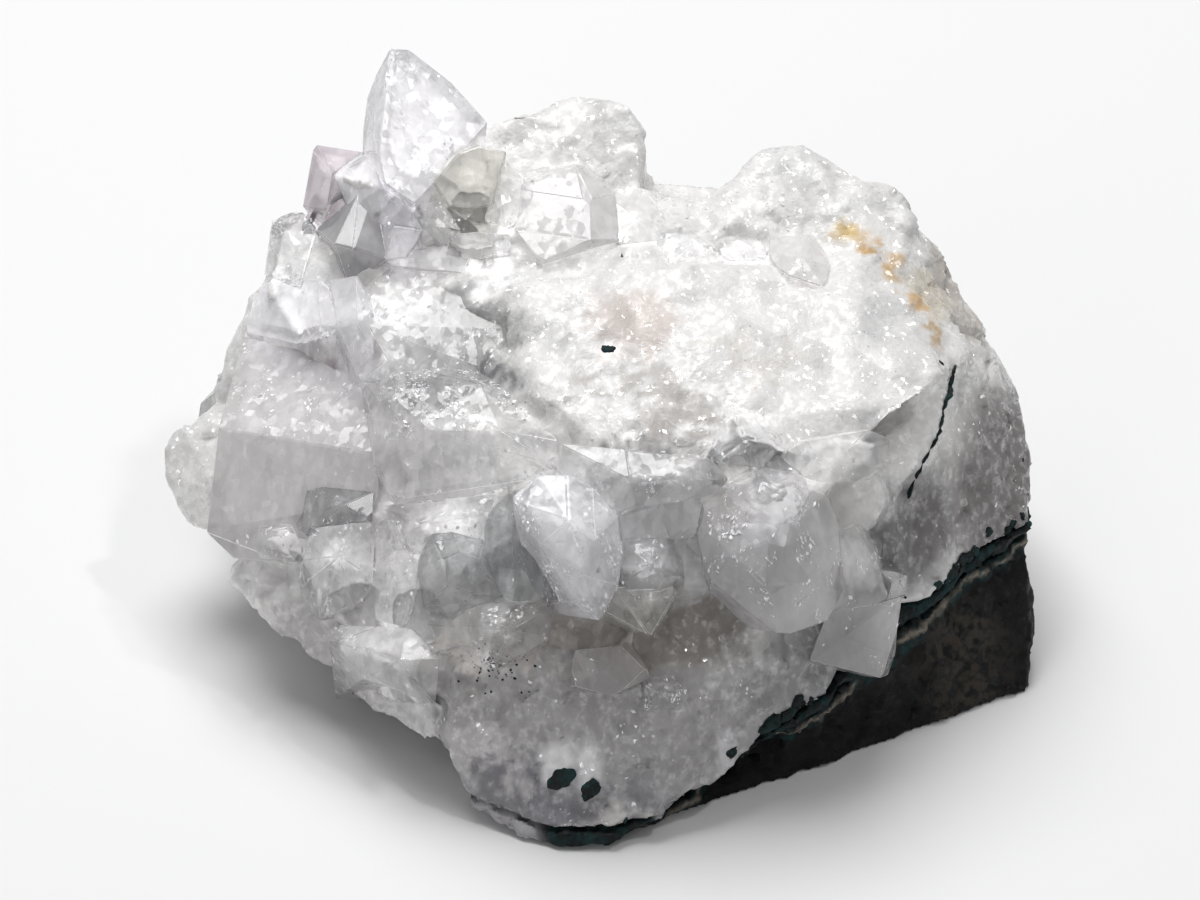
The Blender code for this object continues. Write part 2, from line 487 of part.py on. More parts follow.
def body():
    """The massive part and the rock's foot as one skin, roughened, then thinned to broken facets."""
    solids = [[seen(*point) for point in points] for points in LUMPS.values()]
    foot = [on_floor(x, y, -FOOT_DEPTH) for x, y in FOOT_ON_FLOOR]
    foot += [on_floor(x, y, FOOT_ABOVE_HEIGHT) for x, y in FOOT_ABOVE]
    solids.append(foot + [on_floor(*FOOT_MIDDLE, FOOT_ABOVE_HEIGHT)])
    lumps = bmesh.new()
    for points in solids:
        one = bpy.data.meshes.new("lump")
        lump = hull(points)
        lump.to_mesh(one)
        lump.free()
        lumps.from_mesh(one)
        bpy.data.meshes.remove(one)
    obj = helper_object("body", lumps)
    skin = obj.modifiers.new("skin", "REMESH")
    skin.mode = "VOXEL"
    skin.voxel_size = BODY_VOXEL * MM
    settle(obj)
    roughen(obj.data)
    thin = obj.modifiers.new("thin", "DECIMATE")
    thin.ratio = BODY_SHARE_OF_FACES
    settle(obj)
    return obj


def crystals():
    """Every crystal as its own closed solid, in one collection."""
    group = bpy.data.collections.new("crystals")
    solids = {}
    for name, (depth, points) in CRYSTALS.items():
        solids[name] = hull([seen(*point) for point in rooted(points, depth)])
    solids |= {name: pyramid_crystal(*shape) for name, shape in BACK_CRYSTALS.items()}
    for name, bm in solids.items():
        group.objects.link(helper_object(name, bm))
    return group


def contact_height(right, back):
    """How high the crystalline mass's lower side is, worked out between the CONTACT points."""
    nearness = [(right - x) ** 2 + (back - y) ** 2 + CONTACT_SPREAD**2 for x, y, _ in CONTACT]
    weights = [near**CONTACT_POWER for near in nearness]
    height = sum(weight * point[2] for weight, point in zip(weights, CONTACT)) / sum(weights)
    broad = noise.noise(Vector((right, back, 20)) / CONTACT_BROAD)
    fine = noise.noise(Vector((right, back, 9)) / CONTACT_FINE) * CONTACT_FINE_SHARE
    return height + CONTACT_ROUGHNESS * (broad + fine) * min(1.0, height / CONTACT_FULL_HEIGHT)


def below(name, drop):
    """A solid that fills all below the contact surface lowered by drop.

    The same triangles are made at every drop, so that the layers stay parallel.
    """
    bm = bmesh.new()
    steps = int(2 * FAR / CONTACT_CELL)
    bmesh.ops.create_grid(bm, x_segments=steps, y_segments=steps, size=FAR)
    for vertex in bm.verts:
        right, back = vertex.co.x + REST_CENTRE.x, vertex.co.y + REST_CENTRE.y
        vertex.co = on_floor(right, back, contact_height(right, back) - drop)
    bmesh.ops.triangulate(bm, faces=bm.faces[:], quad_method="FIXED")
    made = bmesh.ops.extrude_face_region(bm, geom=bm.faces[:])
    for vertex in made["geom"]:
        if isinstance(vertex, bmesh.types.BMVert):
            vertex.co.z = -FAR * MM
    bmesh.ops.recalc_face_normals(bm, faces=bm.faces)
    return helper_object(name, bm)


def floor_block():
    """All that lies under the floor, to cut the flat it rests on."""
    bm = bmesh.new()
    bmesh.ops.create_cube(bm, size=4 * FAR * MM)
    bmesh.ops.translate(bm, vec=(0, 0, -2 * FAR * MM), verts=bm.verts)
    return helper_object("under_floor", bm)


def boolean(obj, operation, other):
    """Adds a Boolean. The thinned skin crosses itself in places, which the exact solver doesn't take."""
    step = obj.modifiers.new(operation.lower(), "BOOLEAN")
    step.solver = "MANIFOLD"
    step.operation = operation
    if isinstance(other, bpy.types.Collection):
        step.operand_type = "COLLECTION"
        step.collection = other
    else:
        step.object = other


def node(name, start, mat):
    """A piece that starts as a copy of another object's mesh."""
    mesh = start.data.copy()
    mesh.materials.clear()
    mesh.materials.append(mat)
    obj = bpy.data.objects.new(name, mesh)
    bpy.context.scene.collection.objects.link(obj)
    return obj


def largest_piece(obj):
    """Keeps the largest of an object's separate bodies, and drops crumbs that a cut left."""
    bm = bmesh.new()
    bm.from_mesh(obj.data)
    unseen = set(bm.verts)
    groups = []
    while unseen:
        group, edge = set(), [unseen.pop()]
        while edge:
            vertex = edge.pop()
            group.add(vertex)
            near = {e.other_vert(vertex) for e in vertex.link_edges} & unseen
            unseen -= near
            edge.extend(near)
        groups.append(group)
    groups.sort(key=len)
    crumbs = [v for group in groups[:-1] for v in group]
    bmesh.ops.delete(bm, geom=crumbs, context="VERTS")
    bm.to_mesh(obj.data)
    bm.free()


def main():
    clear_scene()
    whole = body()
    crust = crystals()
    floor = floor_block()
    boolean(whole, "DIFFERENCE", floor)
    settle(whole)

    mass = node("crystal_mass", whole, material("milky_crystal", (0.82, 0.81, 0.81), 0.45))
    boolean(mass, "UNION", crust)
    boolean(mass, "DIFFERENCE", below("under_mass", 0.0))
    settle(mass)
    largest_piece(mass)

    rind = node("green_rind", whole, material("green_rind", (0.02, 0.035, 0.035), 0.8))
    boolean(rind, "INTERSECT", below("over_rind", JOINT_GAP))
    boolean(rind, "DIFFERENCE", below("under_rind", RIND_THICKNESS))
    settle(rind)
    largest_piece(rind)

    rock = node("basalt_matrix", whole, material("basalt", (0.025, 0.024, 0.025), 0.85))
    boolean(rock, "INTERSECT", below("over_rock", RIND_THICKNESS + JOINT_GAP))
    settle(rock)
    largest_piece(rock)


main()
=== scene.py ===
"""How the apophyllite cluster looks: milky body, clear and cloudy crystals, green rind and dark basalt.

The crystals are set out as in the part's source: millimetres across, up and out towards the viewer, turned
into the row frame by the View class. Each crystal is a closed solid of glassy material whose milky core is
part of the body, and the body, the rind and the rock are finer copies of their own solids.
"""

import contextlib
import json
import logging
import math
import random
from collections.abc import Iterator
from dataclasses import dataclass, field
from enum import Enum

import bpy
import numpy as np
from mathutils import Matrix, Vector, noise
from mathutils.bvhtree import BVHTree

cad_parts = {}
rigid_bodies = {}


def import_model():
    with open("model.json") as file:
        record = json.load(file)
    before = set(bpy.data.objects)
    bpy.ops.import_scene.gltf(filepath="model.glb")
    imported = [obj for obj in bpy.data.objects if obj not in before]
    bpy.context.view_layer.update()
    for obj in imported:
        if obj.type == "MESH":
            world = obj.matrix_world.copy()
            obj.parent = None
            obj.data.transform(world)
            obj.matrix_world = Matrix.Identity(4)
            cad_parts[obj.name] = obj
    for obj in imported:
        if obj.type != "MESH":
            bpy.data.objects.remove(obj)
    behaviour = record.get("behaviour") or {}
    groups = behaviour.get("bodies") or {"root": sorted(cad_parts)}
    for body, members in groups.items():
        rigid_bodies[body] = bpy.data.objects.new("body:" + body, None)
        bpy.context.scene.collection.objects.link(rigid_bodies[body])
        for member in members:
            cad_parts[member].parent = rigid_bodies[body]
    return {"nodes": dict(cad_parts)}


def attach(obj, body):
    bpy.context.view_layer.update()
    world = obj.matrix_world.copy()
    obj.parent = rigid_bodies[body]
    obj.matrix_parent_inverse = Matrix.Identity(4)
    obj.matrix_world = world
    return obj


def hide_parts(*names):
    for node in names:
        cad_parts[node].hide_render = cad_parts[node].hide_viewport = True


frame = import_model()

logging.basicConfig(level=logging.INFO, format="%(name)s: %(message)s")
log = logging.getLogger("apophyllite")

MM = 0.001
TINY = 1e-6
BODY = "root"

Triple = tuple[float, float, float]
Socket = bpy.types.NodeSocket
Spot = tuple[Vector, Matrix]


class Clarity(Enum):
    """How clear a crystal is, and its colour."""

    BRIGHT = "bright"
    CLEAR = "clear"
    CLOUDY = "cloudy"
    MILKY = "milky"
    SMOKY = "smoky"
    DARK = "dark"
    BEIGE = "beige"
    LILAC = "lilac"


@dataclass(frozen=True)
class View:
    """The place that the specimen is set out and looked at from, in millimetres and radians."""

    tilt: float = math.radians(35.0)
    eye_distance: float = 500.0
    eye_height: float = 40.0
    middle_out: float = -18.0
    rest_centre: Triple = (9.4, 32.1, 1.2)

    def direction(self, across: float, up: float, out: float) -> Vector:
        """A direction given as it is seen, as a row-frame vector of the same length."""
        sine, cosine = math.sin(self.tilt), math.cos(self.tilt)
        return Vector((across, up * sine - out * cosine, up * cosine + out * sine))

    def place(self, across: float, up: float, out: float) -> Vector:
        """Turns a point given as it is seen into the row frame.

        Args:
            across: millimetres to the right.
            up: millimetres up.
            out: millimetres towards the viewer.

        Returns:
            The point in metres.
        """
        spread = 1.0 - (out - self.middle_out) / self.eye_distance
        height = self.eye_height + (up - self.eye_height) * spread
        return (self.direction(across * spread, height, out) - Vector(self.rest_centre)) * MM

    def eye(self) -> Vector:
        """The eye's place in the row frame, in metres."""
        return self.place_unspread(0.0, self.eye_height, self.middle_out + self.eye_distance)

    def place_unspread(self, across: float, up: float, out: float) -> Vector:
        """A point of the row frame in metres, with no narrowing towards the eye."""
        return (self.direction(across, up, out) - Vector(self.rest_centre)) * MM

    def ray(self, across: float, up: float) -> Vector:
        """The direction of the eye's line of sight through a point that is seen there."""
        return (self.place(across, up, self.middle_out) - self.eye()).normalized()


VIEW = View()


@dataclass
class Crystal:
    """One crystal: its clarity, its root's length, and the corners of its faces as they are seen.

    Chips is how many small breaks it has, veils how crowded its flecks are, and near how far in front of its
    faces the mass is still drawn back into it, in millimetres.
    """

    name: str
    clarity: Clarity
    root: float
    corners: list[Triple]
    chips: int = 3
    veils: int = 24
    root_share: float = 0.83
    near: float = 0.35

    def points(self) -> list[Vector]:
        """The corners with the root's own behind them, in the row frame."""
        points = list(self.corners)
        if self.root:
            lows, highs = [[pick(axis) for axis in zip(*points)] for pick in (min, max)]
            middle = [(low + high) / 2 for low, high in zip(lows, highs)]
            reach = [(high - low) / 2 * self.root_share for low, high in zip(lows, highs)]
            signs = [(1, 1), (1, -1), (-1, -1), (-1, 1)]
            back = lows[2] - self.root
            points += [(middle[0] + x * reach[0], middle[1] + y * reach[1], back) for x, y in signs]
        return [VIEW.place(*point) for point in points]


@dataclass
class BackCrystal:
    """A square prism of the hidden sides: its tip as seen, axis, width, turn in degrees and bluntness."""

    name: str
    clarity: Clarity
    tip: Triple
    axis: Triple
    width: float
    turn: float
    blunt: float
    chips: int = 2
    veils: int = 24
    length: float = 20.0
    near: float = 0.35
    slope: float = math.radians(60.4)

    def points(self) -> list[Vector]:
        """The prism's and the pyramid's corners in the row frame, from the planes that bound it."""
        up = VIEW.direction(*self.axis).normalized()
        side = (Vector((1, 0, 0)) - up * up.x).normalized()
        side = Matrix.Rotation(math.radians(self.turn), 3, up) @ side
        half = self.width / 2
        apex = half * math.sqrt(0.5) * math.tan(self.slope) * self.blunt
        planes = [(Vector((0, 0, 1)), 0.0), (Vector((0, 0, -1)), self.length)]
        for quarter in range(4):
            around = math.radians(90 * quarter)
            planes.append((Vector((math.cos(around), math.sin(around), 0)), half))
            around += math.radians(45)
            slant = Vector((math.cos(around), math.sin(around), 0)) * math.sin(self.slope)
            slant.z = math.cos(self.slope)
            planes.append((slant, apex * slant.z))
        basis = Matrix((side, up.cross(side), up)).transposed()
        tip = VIEW.place(*self.tip)
        return [tip + basis @ corner * MM for corner in corners_of(planes)]


def corners_of(planes: list[tuple[Vector, float]]) -> list[Vector]:
    """Finds the corners of the convex solid that planes bound.

    Args:
        planes: outward normal and distance from the origin of each.

    Returns:
        The corners.
    """
    corners = []
    for i, first in enumerate(planes):
        for j, second in enumerate(planes[i + 1 :], i + 1):
            for third in planes[j + 1 :]:
                rows = Matrix((first[0], second[0], third[0]))
                if abs(rows.determinant()) < TINY:
                    continue
                corner = rows.inverted() @ Vector((first[1], second[1], third[1]))
                if all(corner.dot(normal) <= distance + TINY for normal, distance in planes):
                    corners.append(corner)
    return corners


CRYSTALS = [
    Crystal("peak", Clarity.BRIGHT, 0, [
        (-20.9, 80.1, -18.8), (-19.2, 80.1, -19.3), (-22.4, 77.4, -19.5), (-23.2, 75.4, -20),
        (-23.7, 71.8, -19), (-23.8, 69.7, -18), (-21.4, 77, -17), (-21.7, 74.6, -15.5), (-22, 69.8, -12.5),
        (-21.4, 66.7, -11), (-18.5, 64.7, -10.5), (-17.7, 78.7, -19.3), (-15.1, 76.9, -18.9),
        (-13.4, 74.6, -18), (-11.3, 72.7, -17.5), (-14.1, 69.7, -14.6), (-19.6, 78, -24),
        (-14, 73.5, -25), (-22, 72, -26), (-20, 62, -27), (-12, 65, -26),
    ], veils=90),
    Crystal("peak_skirt", Clarity.BRIGHT, 0, [
        (-26.6, 67.5, -17), (-24, 69.8, -18.5), (-22.8, 70, -17), (-21.5, 66, -12.5), (-19.5, 64.4, -11.5),
        (-21.5, 62.5, -13), (-25, 64, -15.5), (-22, 66, -25), (-25, 63, -24),
    ]),
    Crystal("purple_block", Clarity.LILAC, 0, [
        (-28.3, 70.5, -21), (-23.8, 69.8, -22), (-26.8, 67.7, -17.5), (-27.4, 64.1, -16.5),
        (-29.7, 64.4, -20), (-28.7, 70, -21), (-27, 68, -29), (-23, 67, -29), (-28, 62, -27),
    ], chips=1, veils=8),
    Crystal("dark_point", Clarity.DARK, 0, [
        (-24.1, 65.8, -15.6), (-22.6, 65.6, -15.8), (-28.3, 62.1, -17.2), (-26.6, 60.6, -12.4),
        (-24.7, 60.2, -11.4), (-21.3, 59, -13), (-20.1, 61.5, -15.8), (-20.9, 62.8, -16), (-22, 61, -22),
        (-27, 60, -22), (-25, 56, -15),
    ], chips=0, veils=12),
    Crystal("left_shine", Clarity.CLEAR, 0, [
        (-32.8, 63, -21), (-29.7, 64.2, -20.5), (-28, 62, -17.5), (-29, 58.5, -15), (-33, 60.5, -19.5),
        (-33.5, 57.5, -18.5), (-30, 56, -14), (-31, 60, -29), (-28, 60, -27),
    ], chips=5, veils=50),
    Crystal("left_steps", Clarity.BRIGHT, 0, [
        (-33.8, 56.8, -19), (-27, 57, -13.5), (-25.5, 53.5, -11.5), (-26.6, 51.6, -11), (-30, 50.5, -12.5),
        (-35.4, 51.8, -20), (-34.8, 54.5, -20.5), (-32, 55, -29), (-26, 54, -27),
    ], chips=6, veils=60),
    Crystal("beige_block", Clarity.BEIGE, 9, [
        (-16.6, 66.7, -11.4), (-14.1, 69.7, -12.1), (-12.1, 70.4, -12.3), (-9.4, 69.8, -12.1),
        (-10.3, 66.7, -11.4), (-10.8, 64.4, -10.8), (-13.1, 64.1, -10.7), (-15.1, 64.4, -10.8),
    ], chips=0, near=1.2),
    Crystal("beige_low", Clarity.CLEAR, 8, [
        (-19, 63.8, -12.5), (-16, 65, -12), (-14, 62, -10), (-15, 60.5, -10.5), (-18, 60, -12),
        (-16.3, 62.5, -9.8),
    ]),
    Crystal("skirt_low", Clarity.BRIGHT, 7, [
        (-22, 66.4, -14.6), (-19, 65.6, -13.9), (-17.4, 62, -12.4), (-19.5, 59.2, -11.8), (-21.4, 59, -12.4),
        (-20.6, 62.4, -12.9),
    ], chips=0, veils=90),
    Crystal("among_clear", Clarity.CLEAR, 7, [
        (-17, 65.5, -13.5), (-12, 66, -13.5), (-9.5, 64, -12), (-10.5, 60.5, -11), (-15, 60.5, -11),
        (-17, 62.5, -12), (-13.5, 63, -10),
    ], veils=40),
    Crystal("clear_bits", Clarity.CLEAR, 8, [
        (-10.6, 66.5, -12.5), (-9.3, 68.7, -15), (-8.3, 67, -13.5), (-6.5, 66, -13.5), (-7.2, 64.5, -11.5),
        (-9, 62, -10), (-11.5, 63, -10.5), (-9.3, 65, -10.6),
    ], chips=5),
    Crystal("clear_low", Clarity.CLEAR, 8, [
        (-14.7, 61.5, -10), (-12, 61.8, -9), (-9, 61.5, -9), (-8.8, 59.5, -8), (-12, 59, -8.5),
        (-15.5, 59.5, -10.5),
    ]),
    Crystal("high_shelf", Clarity.CLOUDY, 9, [
        (-21.3, 61.3, -15.5), (-13, 62, -13.5), (-8.5, 60, -11.5), (-9.3, 57.2, -10.5), (-15.5, 57.8, -12),
        (-22, 58.5, -13.5),
    ]),
    Crystal("top_block", Clarity.MILKY, 9, [
        (-2.5, 68.6, -15.5), (-8, 66, -13.5), (1.5, 65.5, -14), (2, 61, -11), (-6, 58.5, -9),
        (-8.5, 62, -11), (-1.2, 65, -11.8), (-1, 61, -9.6),
    ]),
    Crystal("top_second", Clarity.CLOUDY, 7, [
        (0, 66, -15.5), (4, 66.2, -16), (6.5, 63, -14), (6.5, 61, -12), (2, 60.5, -10.5), (3.8, 63.2, -12.4),
    ]),
    Crystal("rim_left", Clarity.CLEAR, 6, [
        (5.5, 61.6, -12.5), (9, 61.8, -13), (12, 60, -11.5), (11.5, 58.6, -10), (7, 58.5, -9.2),
        (8.7, 60, -9.8),
    ]),
    Crystal("rim_right", Clarity.CLEAR, 6, [
        (11.5, 61.2, -13), (15, 61.5, -13.5), (17, 60, -12), (16.5, 58.9, -10.5), (12.5, 58.8, -10),
        (14.2, 60, -10.8),
    ]),
    Crystal("rim_corner", Clarity.MILKY, 7, [
        (17, 61.2, -13), (21, 61.5, -13), (23, 58.5, -10.5), (22.5, 56.3, -8), (19, 57.5, -8),
        (17, 58.8, -10.5), (20.4, 59, -9),
    ]),
    Crystal("grey_slab", Clarity.CLOUDY, 12, [
        (-22.3, 58.3, -14.5), (-15.7, 57.6, -12.8), (-9.3, 57, -11.2), (-25, 54.5, -12.5),
        (-26.6, 52.4, -11.5), (-24, 46.7, -7.2), (-21.3, 49, -7.5), (-12.8, 48.5, -5.8), (-9.2, 47.3, -4.8),
        (-5, 52, -6.5), (-5, 56, -9.5), (-23.2, 52.5, -9.2),
    ], veils=60),
    Crystal("spike", Clarity.BRIGHT, 6, [
        (-27, 57, -13), (-24.4, 57.4, -12), (-26.3, 53, -10.4), (-24.2, 52.6, -8.4), (-23.6, 46.2, -7.6),
        (-22.6, 49.6, -8.0), (-22.8, 54, -10),
    ], chips=0, veils=60),
    Crystal("left_block", Clarity.MILKY, 0, [
        (-35.4, 51.9, -22), (-30.7, 49.9, -17.5), (-25.4, 49, -14.5), (-23.5, 46, -11), (-38.1, 42.3, -13.5),
        (-22, 39.7, -5.5), (-39.3, 31.8, -13), (-22.3, 34.5, -4.8), (-36.6, 29.2, -12.8), (-31, 28.6, -9.6),
        (-33, 50, -38), (-20, 47, -30), (-36, 32, -32), (-22, 32, -26),
    ], veils=60),
    Crystal("round_block", Clarity.CLOUDY, 12, [
        (-23.9, 46.7, -9), (-21.2, 48.7, -8.8), (-16.6, 49, -8), (-12.8, 48.5, -7.2), (-9.2, 47.3, -6),
        (-21.5, 46, -4.6), (-12, 46.6, -2.2), (-22.6, 43, -4), (-22.5, 38.5, -3), (-21, 35, -2.4),
        (-20, 34.3, -2.5), (-16, 34.5, -1), (-13.8, 35.7, 0), (-10, 36.8, 1.5), (-6.2, 37.2, 3),
        (-4.5, 38.5, 3.6), (-4.3, 41, 2.8), (-17, 42, -0.6), (-10, 42, 1.6),
    ], chips=4, veils=110),
    Crystal("pocket_dark", Clarity.SMOKY, 8, [
        (-29.3, 36.5, -8.5), (-22.6, 35.8, -5), (-22.8, 33, -3.5), (-28.4, 32.3, -6), (-29.6, 31.2, -7.5),
        (-30.5, 33, -9), (-25.5, 34.5, -4.4),
    ], chips=5, veils=30),
    Crystal("pocket_clear", Clarity.CLEAR, 8, [
        (-34, 32.5, -9.5), (-30.7, 32.5, -7.2), (-29.4, 30.5, -6), (-30.2, 28.7, -6), (-34, 29.2, -9),
        (-34.8, 31.2, -10), (-32, 30.7, -6.3), (-33, 31.6, -7.4),
    ], chips=5),
    Crystal("pocket_low", Clarity.CLEAR, 10, [
        (-28.7, 32.2, -5), (-22.5, 32.8, -2.2), (-22.4, 27, -1.2), (-24.5, 24.5, -1.8), (-28, 23, -4),
        (-30, 26, -6.2), (-30, 29, -6.2), (-26, 29.5, -1),
    ], chips=4, veils=60),
    Crystal("pocket_side", Clarity.CLEAR, 9, [
        (-22.3, 33, -2.5), (-20, 32.8, -0.5), (-18.3, 28, 1.3), (-18.5, 24.5, 1.5), (-19.5, 22.3, 1),
        (-22.4, 23, -1), (-22.8, 28, -1.8), (-20.4, 29, 1.2),
    ], veils=30),
    Crystal("window_crystal", Clarity.SMOKY, 9, [
        (-16.8, 31.6, 2), (-14.8, 31.8, 2.2), (-11.7, 31, 2.6), (-11.5, 28.3, 3.5), (-9.7, 25.5, 4.5),
        (-14.8, 23, 3), (-17.6, 24.2, 2), (-18.2, 27.8, 1.3), (-18.1, 29.1, 1), (-15.6, 29.1, 4.9),
        (-14.1, 29.8, 4.9), (-12.3, 29.1, 5.1), (-11.6, 27.5, 5.3), (-12.8, 25.8, 5.5), (-15.3, 26.5, 5.3),
    ], chips=0, near=1.2),
    Crystal("window_upper", Clarity.CLEAR, 8, [
        (-22, 34.4, -3), (-18, 34.6, -1), (-12.5, 35.4, 1), (-10.5, 35.6, 2), (-12, 31, 2.6),
        (-16, 31.6, 2), (-19.5, 29.5, 0), (-18, 32.6, 1.4), (-13.2, 33, 3.2),
    ]),
    Crystal("behind_spear", Clarity.SMOKY, 9, [
        (-9.7, 35.2, 4), (-8.5, 36, 4), (-10.7, 34.2, 4), (-11.6, 32.1, 4), (-11.5, 29.9, 4.5),
        (-9.7, 25.5, 5.5), (-8.7, 24.9, 6), (-2.6, 24.9, 8), (0, 27, 8.5), (-1, 34, 7), (-6, 29.8, 8),
        (-2, 30, 9), (-8, 33, 6.5),
    ], chips=1, veils=20),
    Crystal("spear", Clarity.BRIGHT, 8, [
        (-6.1, 37.5, 7.5), (-3.3, 37.5, 8), (-0.8, 36.2, 8), (0.3, 34.7, 8.5), (1.8, 33.2, 9),
        (2.2, 29.9, 9.5), (1.8, 26.5, 10), (-0.1, 23, 11), (-2.6, 25, 10.5), (-3.3, 27.4, 11.3),
        (-6.1, 30.6, 10.5), (-7.7, 32.7, 9.5), (-8.5, 34.7, 8.5), (-8.7, 35.3, 8), (-3.2, 33, 11.5),
        (-0.5, 31, 12), (-1.5, 27.5, 12.5),
    ], chips=0, veils=110),
    Crystal("right_of_spear", Clarity.CLEAR, 8, [
        (2.4, 30.9, 7.5), (5.7, 31.3, 7.5), (7.2, 30.7, 7), (8.5, 28.1, 6.5), (8.7, 26.6, 6.3),
        (7.4, 25.3, 6.8), (4.5, 24.9, 8), (2, 26.5, 9), (5, 28.5, 9.8), (6.5, 27, 9),
    ], chips=4, veils=40),
    Crystal("flap", Clarity.BEIGE, 8, [
        (7.4, 25.3, 6.3), (5.2, 21.5, 6.9), (4.7, 21.6, 7), (0, 24, 7.8), (1.5, 26.3, 7.7), (7, 26.6, 6.4),
    ], chips=0, near=1.8),
    Crystal("low_left_block", Clarity.CLOUDY, 10, [
        (-27.5, 21, -5), (-26.5, 22.5, -5.5), (-19, 22.2, -0.5), (-16, 19.2, 1.8), (-16.5, 14.5, 2),
        (-23.6, 17.2, -2), (-26.6, 19.4, -4.6), (-20, 19, 2.2),
    ], veils=40),
    Crystal("low_block", Clarity.CLEAR, 9, [
        (-17, 25, 2), (-8, 24.3, 5.5), (-4.5, 24.7, 6), (-5.2, 21.2, 6.3), (-8, 19.5, 5.8), (-11, 18, 4.8),
        (-16, 20, 2.3), (-17.2, 22.5, 2), (-9, 22, 7.4),
    ], veils=40),
    Crystal("under_ledge", Clarity.CLOUDY, 9, [
        (-4, 40.6, 5), (2.5, 40, 7), (7, 38.8, 7.5), (11, 39, 7.5), (12.8, 37, 7.3), (11.5, 35.7, 7.4),
        (10.2, 35.3, 7.7), (5.4, 35.5, 9), (4.3, 34.4, 9), (0.8, 33.9, 8.5), (-0.8, 36.5, 7.5),
        (-4.3, 38, 5.5), (3, 37, 9.7), (7, 37, 9.6),
    ], chips=4, veils=60),
    Crystal("step", Clarity.CLOUDY, 9, [
        (1.8, 33.4, 7.7), (5.4, 35.4, 8.2), (10, 35.2, 7.2), (9.8, 32.6, 7.2), (9.2, 31.2, 7),
        (6.9, 31.2, 7.5), (2.3, 31, 8),
    ], chips=2),
    Crystal("big_right_upper", Clarity.CLEAR, 9, [
        (12.8, 36.6, 7.5), (15.9, 38.3, 7), (20.5, 37.4, 6.5), (21, 34.5, 8.5), (19.5, 32.5, 10),
        (14.5, 32.7, 10), (12.5, 34.5, 9), (16.5, 36, 10.2), (19, 36, 9.6),
    ], chips=5, veils=60),
    Crystal("big_right", Clarity.MILKY, 10, [
        (10, 34.8, 6.5), (12, 35.8, 6.5), (21, 36, 6.5), (22.6, 35.5, 5.5), (23.8, 32.2, 4.5),
        (24.3, 25.8, 3.5), (22.5, 23, 4.5), (22, 22.8, 4.7), (18.7, 21.6, 5.5), (17.7, 21.7, 5.7),
        (16.9, 24.8, 7.8), (11.3, 26.9, 7), (10.3, 29, 7), (9.5, 32.7, 6.5), (18, 31.5, 10), (21, 27, 8),
        (17, 26, 9.5), (13, 29.5, 9),
    ], chips=4, veils=110, near=2.0),
    Crystal("lens", Clarity.CLEAR, 8, [
        (10.8, 39.6, 7.3), (12.9, 44.5, 5), (16.2, 43.9, 5), (18.3, 40.9, 6.3), (16.2, 38.3, 7.3),
        (11.6, 38.8, 7.8), (14.5, 41, 8.4),
    ], veils=40),
    Crystal("right_shelf", Clarity.CLOUDY, 9, [
        (18, 39.5, 6.5), (20.5, 40.9, 6), (26.9, 42, 3.3), (29.2, 40.9, 2.3), (28.2, 38.3, 3.3),
        (25.6, 36.8, 4.8), (22.3, 36.8, 6.3), (20.5, 37.3, 6.8), (23, 38.4, 6.6),
    ], near=1.8),
    Crystal("low_right", Clarity.CLOUDY, 8, [
        (23.8, 31.7, 3.6), (25.4, 32.5, 2.6), (25.9, 30.7, 2.6), (27.9, 28.1, 1.6), (28.7, 25.3, 1),
        (27.7, 24.7, 1.5), (23.1, 23.8, 3.6), (24.3, 25.8, 4.6), (25.6, 27.4, 3.9),
    ], near=1.8),
    Crystal("low_right_tip", Clarity.CLOUDY, 6, [
        (28, 28, 0.6), (30.7, 27.6, -2), (30.5, 25.6, -2.2), (28.7, 25.1, -0.6), (29.3, 26.8, 1.2),
    ]),
    Crystal("under_right", Clarity.MILKY, 9, [
        (22.8, 23.8, 2.4), (28.9, 24.8, -0.8), (30.2, 25.3, -3.2), (29.7, 22, -3.6), (28.9, 19.5, -4.2),
        (28.2, 17.2, -5.4), (21, 19, 0.6), (24, 21.2, 0.8),
    ], near=1.8),
    Crystal("low_spark", Clarity.CLEAR, 6, [
        (4, 17, 3.8), (7, 17.5, 3.8), (9, 15.5, 3.4), (8, 14, 3.4), (4.5, 14, 4), (6, 15.8, 5.4),
    ], chips=4, veils=110),
    Crystal("low_facets", Clarity.MILKY, 7, [
        (-2.5, 20, 4.9), (3, 20.5, 5), (5, 17.5, 4.9), (1, 15.5, 4.7), (-3, 16.5, 4.6), (0.5, 18, 5.1),
    ], near=1.5),
]

